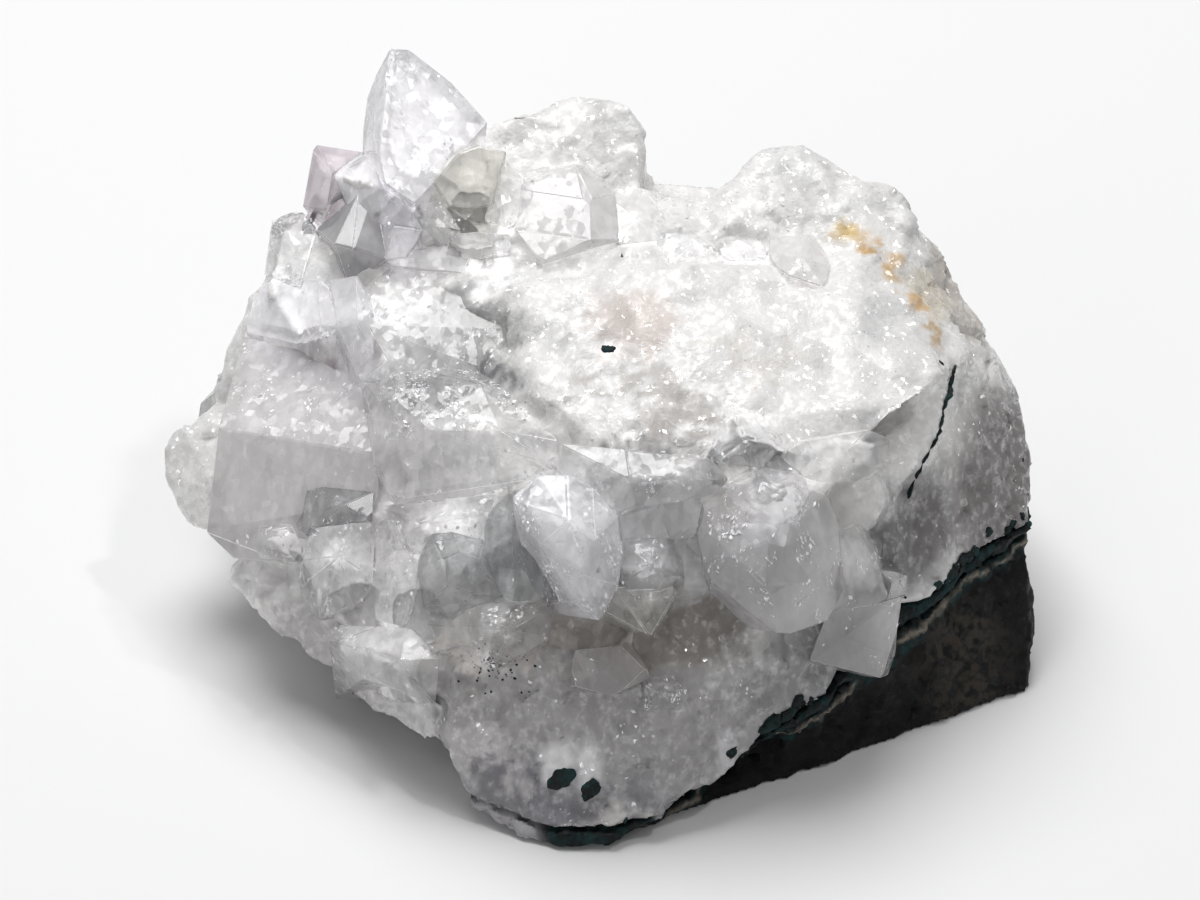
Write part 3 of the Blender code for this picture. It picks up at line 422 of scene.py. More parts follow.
BACK_CRYSTALS = [
    BackCrystal("back_peak", Clarity.CLEAR, (-11, 69.5, -37), (-0.1, 0.75, -0.5), 11, 20, 0.1),
    BackCrystal("back_high", Clarity.CLOUDY, (5, 64.5, -39), (0.15, 0.6, -0.7), 10, 50, 0.3),
    BackCrystal("back_left_high", Clarity.CLOUDY, (-22, 64.5, -38), (-0.3, 0.6, -0.7), 10, 10, 0.8),
    BackCrystal("back_left", Clarity.CLEAR, (-31, 54, -41), (-0.6, 0.4, -0.6), 9, 35, 0.2),
    BackCrystal("back_left_low", Clarity.CLOUDY, (-37, 43, -42), (-0.8, 0.1, -0.6), 10, 15, 1.2),
    BackCrystal("back_right_high", Clarity.CLEAR, (19, 65, -40), (0.1, 0.6, -0.8), 11, 75, 0.9),
    BackCrystal("back_right", Clarity.MILKY, (31, 56, -42), (0.5, 0.4, -0.8), 11, 30, 0.2),
    BackCrystal("back_middle", Clarity.CLOUDY, (-12, 60, -47), (-0.15, 0.35, -0.9), 13, 60, 1.3),
    BackCrystal("back_centre", Clarity.CLEAR, (7, 58, -49), (0.1, 0.2, -0.95), 12, 25, 0.15),
    BackCrystal("back_low", Clarity.CLEAR, (-12, 50, -53), (-0.1, 0.1, -1), 10, 40, 0.9),
    BackCrystal("back_low_left", Clarity.CLOUDY, (-27, 46, -50), (-0.45, 0.1, -0.85), 10, 70, 0.2),
    BackCrystal("back_low_right", Clarity.CLOUDY, (22, 51, -52), (0.3, 0.1, -0.95), 11, 15, 1.1),
    BackCrystal("back_edge", Clarity.CLEAR, (36, 47, -45), (0.7, 0.1, -0.7), 9, 55, 0.8),
]


def deselect() -> None:
    """Leaves nothing selected, because an operator acts on all that is."""
    for obj in bpy.context.view_layer.objects:
        obj.select_set(False)


def activate(obj: bpy.types.Object) -> None:
    """Makes one object the only one that operators act on."""
    deselect()
    obj.select_set(True)
    bpy.context.view_layer.objects.active = obj


@contextlib.contextmanager
def editing(obj: bpy.types.Object, mode: str = "VERT") -> Iterator[None]:
    """Opens an object in edit mode with all of it selected, and closes it after.

    Args:
        obj: the object to edit.
        mode: what is selected, VERT, EDGE or FACE.

    Yields:
        Nothing.
    """
    activate(obj)
    bpy.ops.object.mode_set(mode="EDIT")
    bpy.ops.mesh.select_mode(type=mode)
    bpy.ops.mesh.select_all(action="SELECT")
    yield
    bpy.ops.object.mode_set(mode="OBJECT")


def modify(obj: bpy.types.Object, kind: str, **settings: float | str | bool) -> None:
    """Adds a modifier, sets it and applies it.

    Args:
        obj: the object it works on.
        kind: the modifier's type.
        **settings: its values.
    """
    activate(obj)
    step = obj.modifiers.new(kind.lower(), kind)
    for name, value in settings.items():
        setattr(step, name, value)
    bpy.ops.object.modifier_apply(modifier=step.name)


def new_object(name: str, points: list[Vector], faces: list[list[int]] | None = None) -> bpy.types.Object:
    """Makes a mesh object at the origin.

    Args:
        name: its name.
        points: its corners in the row frame, in metres.
        faces: its faces, if it has any yet.

    Returns:
        The object.
    """
    mesh = bpy.data.meshes.new(name)
    mesh.from_pydata([tuple(point) for point in points], [], faces or [])
    obj = bpy.data.objects.new(name, mesh)
    bpy.context.scene.collection.objects.link(obj)
    return obj


def hull_of(name: str, points: list[Vector]) -> bpy.types.Object:
    """The convex hull of points, as an object."""
    obj = new_object(name, points)
    with editing(obj):
        bpy.ops.mesh.convex_hull()
    return obj


def joined(name: str, objects: list[bpy.types.Object]) -> bpy.types.Object:
    """Joins objects into one.

    Args:
        name: the name of the whole.
        objects: what is joined.

    Returns:
        The joined object.
    """
    activate(objects[0])
    for obj in objects:
        obj.select_set(True)
    bpy.ops.object.join()
    objects[0].name = name
    return objects[0]


def coordinates(obj: bpy.types.Object) -> np.ndarray:
    """The places of a mesh's points, one row each, in metres."""
    places = np.empty(len(obj.data.vertices) * 3, np.float32)
    obj.data.vertices.foreach_get("co", places)
    return places.reshape(-1, 3).astype(np.float64)


def normals(obj: bpy.types.Object) -> np.ndarray:
    """The normals of a mesh's points, one row each."""
    found = np.empty(len(obj.data.vertices) * 3, np.float32)
    obj.data.vertices.foreach_get("normal", found)
    return found.reshape(-1, 3).astype(np.float64)


def move_points(obj: bpy.types.Object, places: np.ndarray) -> None:
    """Puts a mesh's points at new places."""
    obj.data.vertices.foreach_set("co", places.astype(np.float32).ravel())
    obj.data.update()


def surface_of(obj: bpy.types.Object) -> BVHTree:
    """A mesh's faces as a tree that rays and distances are measured on."""
    points = [vertex.co.copy() for vertex in obj.data.vertices]
    return BVHTree.FromPolygons(points, [tuple(face.vertices) for face in obj.data.polygons])


def bumps(places: np.ndarray, size: float, seed: float, kind: str = "soft") -> np.ndarray:
    """Reads a noise at many places.

    Args:
        places: the places, in metres.
        size: how wide its bumps are, in millimetres.
        seed: moves the pattern.
        kind: soft for rolling bumps or ridges for sharp crests.

    Returns:
        One value a place, from about -1 to 1.
    """
    shift = Vector((seed, 2 * seed, 3 * seed))
    scaled = places / (size * MM)
    if kind == "ridges":
        return np.array([1 - 2 * abs(noise.noise(Vector(p) + shift)) for p in scaled])
    return np.array([noise.noise(Vector(p) + shift) for p in scaled])


def broken(places: np.ndarray, size: float, seed: float) -> np.ndarray:
    """Reads a relief of flat breaks, each tilted its own way, at many places.

    Args:
        places: the places, in metres.
        size: how wide a break is, in millimetres.
        seed: moves the pattern.

    Returns:
        One value a place, from about -1 to 1.
    """
    shift = Vector((seed, 5 * seed, 3 * seed))
    lean, fall, spread, apart = 1.1, 0.7, 1.6, 7.3
    heights = np.empty(len(places))
    for index, place in enumerate(places / (size * MM)):
        spot = Vector(place) + shift
        far, centres = noise.voronoi(spot)
        breaks = []
        for gap, centre in zip(far[:3], centres[:3]):
            tilt = noise.cell_vector(centre * apart) * 2 - Vector((1, 1, 1))
            breaks.append(lean * (spot - centre).dot(tilt) - fall * gap)
        heights[index] = max(breaks)
    return heights * spread


def wandering(places: np.ndarray, size: float, seeds: Triple) -> np.ndarray:
    """A direction for each place, by which the edge of a patch wanders there."""
    return np.stack([bumps(places, size, seed) for seed in seeds], axis=1)


def keep_values(obj: bpy.types.Object, name: str, values: np.ndarray) -> None:
    """Writes a value for each of a mesh's points, as an attribute that its material reads."""
    attribute = obj.data.attributes.new(name, "FLOAT", "POINT")
    attribute.data.foreach_set("value", values.astype(np.float32))


def soft_step(values: np.ndarray, low: float, high: float) -> np.ndarray:
    """Goes smoothly from 0 where values are at low to 1 where they are at high."""
    share = np.clip((values - low) / (high - low), 0.0, 1.0)
    return share * share * (3 - 2 * share)


def finer_copy(name: str, node: str, voxel: float) -> bpy.types.Object:
    """Copies a node's mesh, merges it and gives it an even, finer net.

    Args:
        name: the copy's name.
        node: the node that it stands for.
        voxel: the net's width in millimetres.

    Returns:
        The copy, which replaces the node.
    """
    source = frame["nodes"][node]
    obj = bpy.data.objects.new(name, source.data.copy())
    obj.data.materials.clear()
    bpy.context.scene.collection.objects.link(obj)
    with editing(obj):
        bpy.ops.mesh.remove_doubles(threshold=TINY)
    modify(obj, "REMESH", mode="VOXEL", voxel_size=voxel * MM, use_smooth_shade=True)
    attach(obj, BODY)
    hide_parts(node)
    return obj


class Sockets:
    """Shorthand for a material's node tree: it adds nodes and joins sockets."""

    def __init__(self, tree: bpy.types.NodeTree) -> None:
        """Keeps the tree."""
        self.tree = tree

    def add(self, kind: str, **settings: float | str | bool | bpy.types.NodeTree) -> bpy.types.Node:
        """Adds a node and sets its own properties."""
        node = self.tree.nodes.new(kind)
        for name, value in settings.items():
            setattr(node, name, value)
        return node

    def feed(self, target: Socket, source: Socket | float | tuple) -> None:
        """Links a socket to another, or gives it a plain value."""
        if isinstance(source, Socket):
            self.tree.links.new(source, target)
        else:
            target.default_value = source

    def math(self, operation: str, *values: Socket | float) -> Socket:
        """The result of a Math node."""
        node = self.add("ShaderNodeMath", operation=operation)
        for socket, value in zip(node.inputs, values):
            self.feed(socket, value)
        return node.outputs[0]

    def vector(self, operation: str, *values: Socket | tuple) -> Socket:
        """The vector result of a Vector Math node."""
        node = self.add("ShaderNodeVectorMath", operation=operation)
        for socket, value in zip(node.inputs, values):
            self.feed(socket, value)
        return node.outputs["Vector"]

    def scaled(self, vector: Socket, share: Socket | float) -> Socket:
        """A vector times a value."""
        node = self.add("ShaderNodeVectorMath", operation="SCALE")
        self.feed(node.inputs[0], vector)
        self.feed(node.inputs["Scale"], share)
        return node.outputs["Vector"]

    def blend(
        self, share: Socket | float, low: Socket | Triple, high: Socket | Triple, how: str = "MIX"
    ) -> Socket:
        """A colour between two, by a share, or their product by it."""
        node = self.add("ShaderNodeMix", data_type="RGBA", blend_type=how)
        self.feed(node.inputs[0], share)
        for socket, value in zip((node.inputs[6], node.inputs[7]), (low, high)):
            self.feed(socket, value if isinstance(value, Socket) else (*value, 1.0))
        return node.outputs[2]

    def bumped(self, height: Socket, normal: Socket, strength: float, distance: float) -> Socket:
        """A normal roughened by a height, whose distance is given in millimetres."""
        node = self.add("ShaderNodeBump")
        self.feed(node.inputs["Strength"], strength)
        self.feed(node.inputs["Distance"], distance * MM)
        self.feed(node.inputs["Height"], height)
        self.feed(node.inputs["Normal"], normal)
        return node.outputs["Normal"]

    def attribute(self, name: str, output: str = "Fac") -> Socket:
        """What a mesh's own attribute holds."""
        return self.add("ShaderNodeAttribute", attribute_name=name).outputs[output]

    def ranged(
        self, value: Socket, low: float, high: float, to_low: float = 0.0, to_high: float = 1.0
    ) -> Socket:
        """A value taken smoothly from one range to another."""
        node = self.add("ShaderNodeMapRange", interpolation_type="SMOOTHSTEP")
        for socket, number in zip(node.inputs, (value, low, high, to_low, to_high)):
            self.feed(socket, number)
        return node.outputs[0]

    def noise(self, place: Socket, size: float, detail: float = 2.0) -> Socket:
        """The value of a noise texture whose bumps are size millimetres wide."""
        node = self.add("ShaderNodeTexNoise")
        self.feed(node.inputs["Vector"], place)
        self.feed(node.inputs["Scale"], 1.0 / (size * MM))
        self.feed(node.inputs["Detail"], detail)
        return node.outputs["Fac"]

    def group(self, tree: bpy.types.NodeTree, **values: Socket | float | tuple) -> bpy.types.Node:
        """Places a node group with its own values, whose names have _ for a space."""
        node = self.add("ShaderNodeGroup", node_tree=tree)
        for name, value in values.items():
            self.feed(node.inputs[name.replace("_", " ")], value)
        return node


def group_tree(
    name: str, inputs: dict[str, str], outputs: dict[str, str]
) -> tuple[Sockets, bpy.types.Node, bpy.types.Node]:
    """Starts a node group.

    Args:
        name: the group's name.
        inputs: each input's name and socket type.
        outputs: each output's name and socket type.

    Returns:
        The group's sockets shorthand, its input node and its output node.
    """
    tree = bpy.data.node_groups.new(name, "ShaderNodeTree")
    for label, kind in inputs.items():
        tree.interface.new_socket(label, in_out="INPUT", socket_type=kind)
    for label, kind in outputs.items():
        tree.interface.new_socket(label, in_out="OUTPUT", socket_type=kind)
    sockets = Sockets(tree)
    return sockets, sockets.add("NodeGroupInput"), sockets.add("NodeGroupOutput")


FLOAT, VECTOR = "NodeSocketFloat", "NodeSocketVector"


def facet_normal(s: Sockets, place: Socket, scale: Socket | float, tilt: Socket | float) -> Socket:
    """Tilts the surface's normal by cells, each its own way.

    Args:
        s: the tree's sockets shorthand.
        place: the coordinates that the cells are laid in.
        scale: how many cells there are to a metre.
        tilt: how far the normals lean.

    Returns:
        The tilted normal.
    """
    cells = s.add("ShaderNodeTexVoronoi")
    s.feed(cells.inputs["Vector"], place)
    s.feed(cells.inputs["Scale"], scale)
    lean = s.scaled(s.vector("SUBTRACT", cells.outputs["Color"], (0.5, 0.5, 0.5)), tilt)
    geometry = s.add("ShaderNodeNewGeometry")
    return s.vector("NORMALIZE", s.vector("ADD", geometry.outputs["Normal"], lean))


def sparkle_group() -> bpy.types.NodeTree:
    """Flat breaks that each catch the light at their own tilt, where a mask lets them."""
    inputs = {"Place": VECTOR, "Cell Size": FLOAT, "Tilt": FLOAT, "Mask": FLOAT}
    s, given, made = group_tree("broken_facets", inputs, {"Normal": VECTOR})
    scale = s.math("DIVIDE", 1.0 / MM, given.outputs["Cell Size"])
    tilt = s.math("MULTIPLY", given.outputs["Tilt"], given.outputs["Mask"])
    s.feed(made.inputs["Normal"], facet_normal(s, given.outputs["Place"], scale, tilt))
    return s.tree


def grain_group() -> bpy.types.NodeTree:
    """Fine grain as a height."""
    s, given, made = group_tree("sugar_grain", {"Place": VECTOR, "Grain Size": FLOAT}, {"Height": FLOAT})
    grains = s.add("ShaderNodeTexNoise")
    s.feed(grains.inputs["Vector"], given.outputs["Place"])
    s.feed(grains.inputs["Scale"], s.math("DIVIDE", 1.0 / MM, given.outputs["Grain Size"]))
    s.feed(grains.inputs["Detail"], 2.0)
    s.feed(made.inputs["Height"], grains.outputs["Fac"])
    return s.tree


@dataclass(frozen=True)
class Patterns:
    """The node groups that the finishes share."""

    sparkle: bpy.types.NodeTree = field(default_factory=sparkle_group)
    grain: bpy.types.NodeTree = field(default_factory=grain_group)


def started(name: str) -> tuple[bpy.types.Material, Sockets, bpy.types.Node, Socket]:
    """Starts a material.

    Args:
        name: the material's name.

    Returns:
        The material, its sockets shorthand, its Principled node and its Object coordinates.
    """
    mat = bpy.data.materials.new(name)
    mat.use_nodes = True
    s = Sockets(mat.node_tree)
    shader = mat.node_tree.nodes["Principled BSDF"]
    place = s.add("ShaderNodeTexCoord").outputs["Object"]
    return mat, s, shader, place


@dataclass(frozen=True)
class CrystalFinish:
    """A crystal's material: see-through, with clouds drawn out along one way and small broken facets."""

    name: str
    colour: Triple
    transmission: float
    smooth: float
    frosted: float
    absorbed: Triple
    density: float
    shadow: float = 0.8
    # How strongly the body's stains and painted shade darken this crystal.
    tint_and_shade_strength: float = 0.6
    tilt: float = 0.3
    cloud_size: float = 0.9
    cloud_share: float = 0.5
    dim: float = 0.6
    stretch: Triple = (1.0, 0.7, 0.35)
    cloud_edge: tuple[float, float] = (0.14, 0.1)
    facet_size: float = 0.9
    index: float = 1.535
    edge_colour: Triple = (0.96, 0.96, 0.97)
    edge_roughness: tuple[float, float] = (0.12, 0.45)
    edge_share: float = 0.8

    def material(self, patterns: Patterns) -> bpy.types.Material:
        """Builds the material."""
        mat, s, shader, place = started(self.name)
        clouds = s.noise(s.vector("MULTIPLY", place, self.stretch), self.cloud_size, 5.0)
        middle = 0.62 - 0.24 * self.cloud_share
        cloudy = s.ranged(clouds, middle - self.cloud_edge[0], middle + self.cloud_edge[1])
        dim = tuple(self.dim * share for share in self.colour)
        colour = s.blend(cloudy, dim, self.colour)
        # The body's stains and painted shade, written on the crystal's points, darken its colour.
        s.feed(shader.inputs["Base Color"], s.blend(1.0, s.attribute("tint_and_shade", "Color"), colour, "MULTIPLY"))
        s.feed(shader.inputs["Roughness"], s.ranged(cloudy, 0.0, 1.0, self.smooth, self.frosted))
        facets = s.group(
            patterns.sparkle, Place=place, Cell_Size=self.facet_size, Tilt=self.tilt, Mask=cloudy
        )
        s.feed(shader.inputs["Normal"], facets.outputs["Normal"])
        shader.inputs["Transmission Weight"].default_value = self.transmission
        shader.inputs["IOR"].default_value = self.index
        self.let_light_through(mat, s, shader)
        return mat

    def edge_material(self) -> bpy.types.Material:
        """Builds the material of the worn edges, which is paler and frosted."""
        mat, s, shader, place = started(f"{self.name}_edge")
        uneven = s.ranged(s.noise(place, 0.7, 1.0), 0.35, 0.65, *self.edge_roughness)
        s.feed(shader.inputs["Roughness"], uneven)
        shader.inputs["Base Color"].default_value = (*self.edge_colour, 1.0)
        shader.inputs["Transmission Weight"].default_value = self.edge_share * self.transmission
        shader.inputs["IOR"].default_value = self.index
        self.let_light_through(mat, s, shader)
        return mat

    def let_light_through(self, mat: bpy.types.Material, s: Sockets, shader: bpy.types.Node) -> None:
        """Lets shadow rays through and makes the inside absorb light.

        Args:
            mat: the material.
            s: its sockets shorthand.
            shader: its Principled node.
        """
        output = mat.node_tree.nodes["Material Output"]
        clear = s.add("ShaderNodeBsdfTransparent")
        s.feed(clear.inputs["Color"], (*(self.shadow * share for share in self.colour), 1.0))
        through = s.add("ShaderNodeMixShader")
        s.feed(through.inputs[0], s.add("ShaderNodeLightPath").outputs["Is Shadow Ray"])
        s.feed(through.inputs[1], shader.outputs[0])
        s.feed(through.inputs[2], clear.outputs[0])
        s.feed(output.inputs["Surface"], through.outputs[0])
        inside = s.add("ShaderNodeVolumeAbsorption")
        s.feed(inside.inputs["Color"], (*self.absorbed, 1.0))
        s.feed(inside.inputs["Density"], self.density)
        s.feed(output.inputs["Volume"], inside.outputs[0])


FINISHES = {
    Clarity.BRIGHT: CrystalFinish(
        "bright_crystal", (0.97, 0.965, 0.985), 0.6, 0.05, 0.2, (0.9, 0.9, 0.93), 10.0, 0.95, 0.3,
        cloud_share=0.8, dim=0.88, cloud_size=1.0,
    ),
    Clarity.CLEAR: CrystalFinish(
        "clear_crystal", (0.975, 0.975, 0.98), 0.86, 0.01, 0.12, (0.84, 0.85, 0.87), 18.0, 0.93, 0.4,
        cloud_share=0.5, dim=0.78,
    ),
    Clarity.CLOUDY: CrystalFinish(
        "cloudy_crystal", (0.95, 0.95, 0.952), 0.66, 0.04, 0.2, (0.86, 0.86, 0.87), 15.0, 0.86, 0.6,
        cloud_share=0.6, dim=0.81,
    ),
    Clarity.MILKY: CrystalFinish(
        "milky_crystal", (0.88, 0.87, 0.875), 0.42, 0.08, 0.25, (0.86, 0.85, 0.85), 12.0, 0.75, 0.75,
        cloud_share=0.6, dim=0.91,
    ),
    Clarity.SMOKY: CrystalFinish(
        "smoky_crystal", (0.76, 0.77, 0.775), 0.86, 0.01, 0.1, (0.68, 0.69, 0.7), 40.0, 0.75, 0.35,
        cloud_share=0.35, dim=0.7,
    ),
    Clarity.DARK: CrystalFinish(
        "dark_crystal", (0.56, 0.555, 0.565), 0.5, 0.02, 0.08, (0.66, 0.66, 0.67), 45.0, 0.7, 0.15,
        cloud_share=0.3, dim=0.86, tilt=0.08,
    ),
    Clarity.BEIGE: CrystalFinish(
        "beige_crystal", (0.83, 0.82, 0.785), 0.68, 0.04, 0.12, (0.83, 0.81, 0.76), 24.0, 0.8, 0.35,
        cloud_share=0.6, dim=0.8, tilt=0.16,
    ),
    Clarity.LILAC: CrystalFinish(
        "lilac_crystal", (0.9, 0.85, 0.89), 0.6, 0.04, 0.12, (0.72, 0.65, 0.7), 35.0, 0.7, 0.15,
        cloud_share=0.7, dim=0.9, tilt=0.1,
    ),
}

CORE_PULL = {
    Clarity.BRIGHT: 0.22,
    Clarity.CLEAR: 0.45,
    Clarity.CLOUDY: 0.3,
    Clarity.MILKY: 0.16,
    Clarity.SMOKY: 0.4,
    Clarity.DARK: 0.3,
    Clarity.BEIGE: 0.4,
    Clarity.LILAC: 0.35,
}


@dataclass(frozen=True)
class Zone:
    """A patch of the body with a colour laid over it, for a stain of the stone and for painted shade alike:
    its centre as seen, its reach across, back and up, in mm.
    """

    centre: Triple
    reach: Triple
    colour: Triple
    strength: float = 1.0
    ragged: float = 3.0

    def share(self, places: np.ndarray, wander: np.ndarray) -> np.ndarray:
        """How much of the patch's colour each place has.

        Args:
            places: the places, in metres.
            wander: a direction for each place, by which the patch's edge is moved.

        Returns:
            A share for each place.
        """
        off = places + wander * self.ragged * MM - np.array(VIEW.place(*self.centre))
        far = np.linalg.norm(off / (np.array(self.reach) * MM), axis=1)
        return (1.0 - soft_step(far, 0.45, 1.0)) * self.strength


@dataclass(frozen=True)
class BodyFinish:
    """The milky body: a white that turns warm, grey and stained in patches, with painted shade darkening its
    underside, right flank and recesses, and with breaks and fine grain.
    """

    name: str = "milky_body"
    white: Triple = (0.87, 0.862, 0.852)
    grey: Triple = (0.74, 0.735, 0.738)
    cloud: tuple[float, float, float] = (0.7, -0.3, 0.6)
    mottle: float = 0.06
    veins: tuple[Triple, Triple] = ((0.87, 0.867, 0.865), (1.04, 1.04, 1.04))
    vein_stretch: Triple = (1.0, 0.8, 0.6)
    plane_size: float = 3.2
    plane_tilt: float = 0.55
    grain: float = 0.5
    glint_size: float = 0.45
    glint_tilt: float = 1.5
    # The darker zones are painted shade, partly the greyer stone there too: towards the bottom, on the right
    # flank, under the ledge and in the gaps between crystals. The brown, orange, yellow and lilac zones, and
    # the pale rings round the nodules and along the bottom edge, are the stone's own colour.
    colour_and_shade_zones: tuple[Zone, ...] = (
        Zone((-24, 36, -8), (20, 16, 13), (0.66, 0.645, 0.65), 0.8),
        Zone((-30, 47, -16), (6, 5, 6), (0.52, 0.5, 0.515), 0.8),
        Zone((-31.7, 48, -17), (1.3, 1.6, 3), (0.36, 0.29, 0.34), 0.85, 0.5),
        Zone((-26.7, 47.7, -14), (1.2, 1.6, 3), (0.36, 0.29, 0.34), 0.85, 0.5),
        Zone((-24.9, 46.3, -12), (1.2, 1.6, 3), (0.36, 0.29, 0.34), 0.8, 0.5),
        Zone((-29.7, 46, -15), (1.2, 1.6, 3), (0.38, 0.31, 0.36), 0.8, 0.5),
        # Painted shadow where the grey slab meets the round block.
        Zone((-15, 46.5, -5), (9, 5, 6), (0.11, 0.105, 0.115), 0.85),
        Zone((-26, 30.5, -6), (6, 7, 6), (0.9, 0.89, 0.89), 0.85),
        # Painted shade: the body darker towards the bottom, partly its greyer stone.
        Zone((0, 12, 2), (34, 16, 11), (0.36, 0.35, 0.355), 0.95),
        Zone((-28, 18, -10), (12, 12, 10), (0.44, 0.425, 0.43), 0.8),
        Zone((-21.5, 19, -4), (6, 5, 6), (0.9, 0.895, 0.9), 0.85),
        Zone((0, 22, 4), (18, 8, 5), (0.4, 0.365, 0.335), 0.85),
        Zone((-14.5, 19.5, 1), (5, 4, 4), (0.8, 0.75, 0.7), 0.85),
        Zone((9, 22, 3), (8, 4, 5), (0.2, 0.18, 0.165), 0.85, 1.0),
        # Painted shade at the very bottom.
        Zone((-5, 4, 0), (16, 8, 6), (0.185, 0.18, 0.205), 0.88),
        Zone((-12, 10, 0), (6, 7, 4), (0.6, 0.58, 0.585), 0.7),
        Zone((22, 18, -2), (9, 8, 8), (0.27, 0.275, 0.28), 0.8, 1.0),
        Zone((24.5, 25, -1), (5, 6, 6), (0.15, 0.147, 0.15), 0.85, 1.0),
        # Painted shade on the right flank.
        Zone((41, 36, -16), (10, 15, 14), (0.24, 0.225, 0.225), 1.0, 0.6),
        Zone((32, 32, -7), (6, 10, 8), (0.17, 0.162, 0.166), 0.9, 0.8),
        Zone((36, 56, -20), (6, 9, 8), (0.56, 0.51, 0.45), 0.8, 1.0),
        # Painted shade under the ledge.
        Zone((8, 42.5, 3), (6, 4, 5), (0.42, 0.39, 0.37), 0.8),
        Zone((3, 38, 6), (9, 3.5, 4.5), (0.17, 0.168, 0.173), 0.88),
        Zone((16.5, 36, 8), (6, 4, 5), (0.2, 0.2, 0.205), 0.85),
        Zone((15, 29, 8), (8, 9, 8), (0.34, 0.335, 0.345), 0.7),
        Zone((-7, 51, -6), (8, 5, 5), (0.6, 0.6, 0.585), 0.85),
        Zone((3, 46, 0), (7, 4, 5), (0.52, 0.49, 0.465), 0.75),
        Zone((3.5, 53, -4), (6, 6, 5), (0.7, 0.62, 0.58), 0.85, 2.0),
        Zone((15, 48, -3), (10, 5, 4), (0.76, 0.72, 0.68), 0.6),
        Zone((17, 55, -6), (13, 7, 4), (0.84, 0.83, 0.82), 0.95),
        Zone((10, 34, 4), (9, 5, 5), (0.46, 0.4, 0.33), 0.75),
        Zone((-9, 30, 3), (5, 6, 4), (0.6, 0.6, 0.61), 0.8),
        Zone((4, 31, 8), (25, 9, 9), (0.6, 0.6, 0.608), 0.85),
        Zone((-15, 52, -9), (9, 6, 6), (0.38, 0.38, 0.385), 0.88),
        Zone((-5, 36, 8), (4, 3, 4), (0.4, 0.4, 0.41), 0.85),
        Zone((-30, 54, -16), (5, 4, 7), (0.98, 0.98, 0.98), 0.8),
        Zone((-13, 63, -12), (6, 5, 4), (0.85, 0.84, 0.82), 0.6),
        Zone((24.6, 62, -14), (2, 2.6, 1.4), (0.7, 0.5, 0.2), 0.95, 0.8),
        Zone((27, 61, -13.5), (2, 2.6, 1.3), (0.62, 0.38, 0.13), 0.95, 0.8),
        Zone((33, 55.5, -14), (3.6, 5, 5.5), (0.66, 0.58, 0.43), 0.6, 1.0),
        Zone((29.8, 58.4, -11.5), (1.5, 3, 2.6), (0.62, 0.4, 0.16), 0.9, 1.2),
        Zone((31.6, 55.6, -11), (1.4, 3, 2.8), (0.6, 0.38, 0.16), 0.85, 1.2),
        Zone((33.6, 52.2, -9.5), (1.3, 3, 2.8), (0.6, 0.42, 0.22), 0.85, 1.2),
        Zone((0.8, 50.1, -1), (1.9, 1.7, 6), (0.93, 0.9, 0.88), 1.0, 0.5),
        Zone((-3.9, 7.1, 0), (2.9, 2.1, 8), (0.8, 0.79, 0.8), 0.95, 0.5),
        Zone((-1.0, 6.0, 0), (1.9, 1.9, 8), (0.8, 0.79, 0.8), 0.95, 0.5),
        Zone((13.2, 9.8, 0), (1.7, 1.6, 8), (0.66, 0.65, 0.67), 0.9, 0.5),
        Zone((6, 1, 0), (9, 1.5, 8), (0.78, 0.76, 0.72), 0.9, 0.6),
        Zone((35.3, 47.8, -5), (0.8, 1.4, 0.7), (0.6, 0.52, 0.25), 0.9, 0.4),
        Zone((33.5, 43.8, -4), (0.9, 1.4, 0.6), (0.62, 0.62, 0.4), 0.9, 0.4),
    )

    def tint_and_shade(self, obj: bpy.types.Object, strength: float = 1.0) -> None:
        """Writes the patches' colours, stains and painted shade alike, on the mesh, as an attribute of its
        points.

        Args:
            obj: the body or a piece on it.
            strength: 1 for the colours as they are, less to draw them towards white.
        """
        places = coordinates(obj)
        seeds = (21, 31, 41)
        wander = wandering(places, 3.0, seeds) + wandering(places, 1.0, seeds)
        most, low, high = self.cloud
        clouds = bumps(places, 6.0, 17.0) + 0.4 * bumps(places, 1.8, 19.0)
        cloud = most * soft_step(clouds, low, high)[:, None]
        colour = np.array(self.white) * (1 - cloud) + np.array(self.grey) * cloud
        for zone in self.colour_and_shade_zones:
            share = zone.share(places, wander)[:, None]
            colour = colour * (1 - share) + np.array(zone.colour) * share
        colour *= 1.0 + self.mottle * (bumps(places, 1.6, 51.0) + 0.6 * bumps(places, 0.8, 52.0))[:, None]
        colour = 1.0 - strength * (1.0 - colour)
        attribute = obj.data.attributes.new("tint_and_shade", "FLOAT_COLOR", "POINT")
        rows = np.concatenate([colour, np.ones((len(places), 1))], axis=1)
        attribute.data.foreach_set("color", rows.astype(np.float32).ravel())

    def material(self, patterns: Patterns) -> bpy.types.Material:
        """Builds the material."""
        mat, s, shader, place = started(self.name)
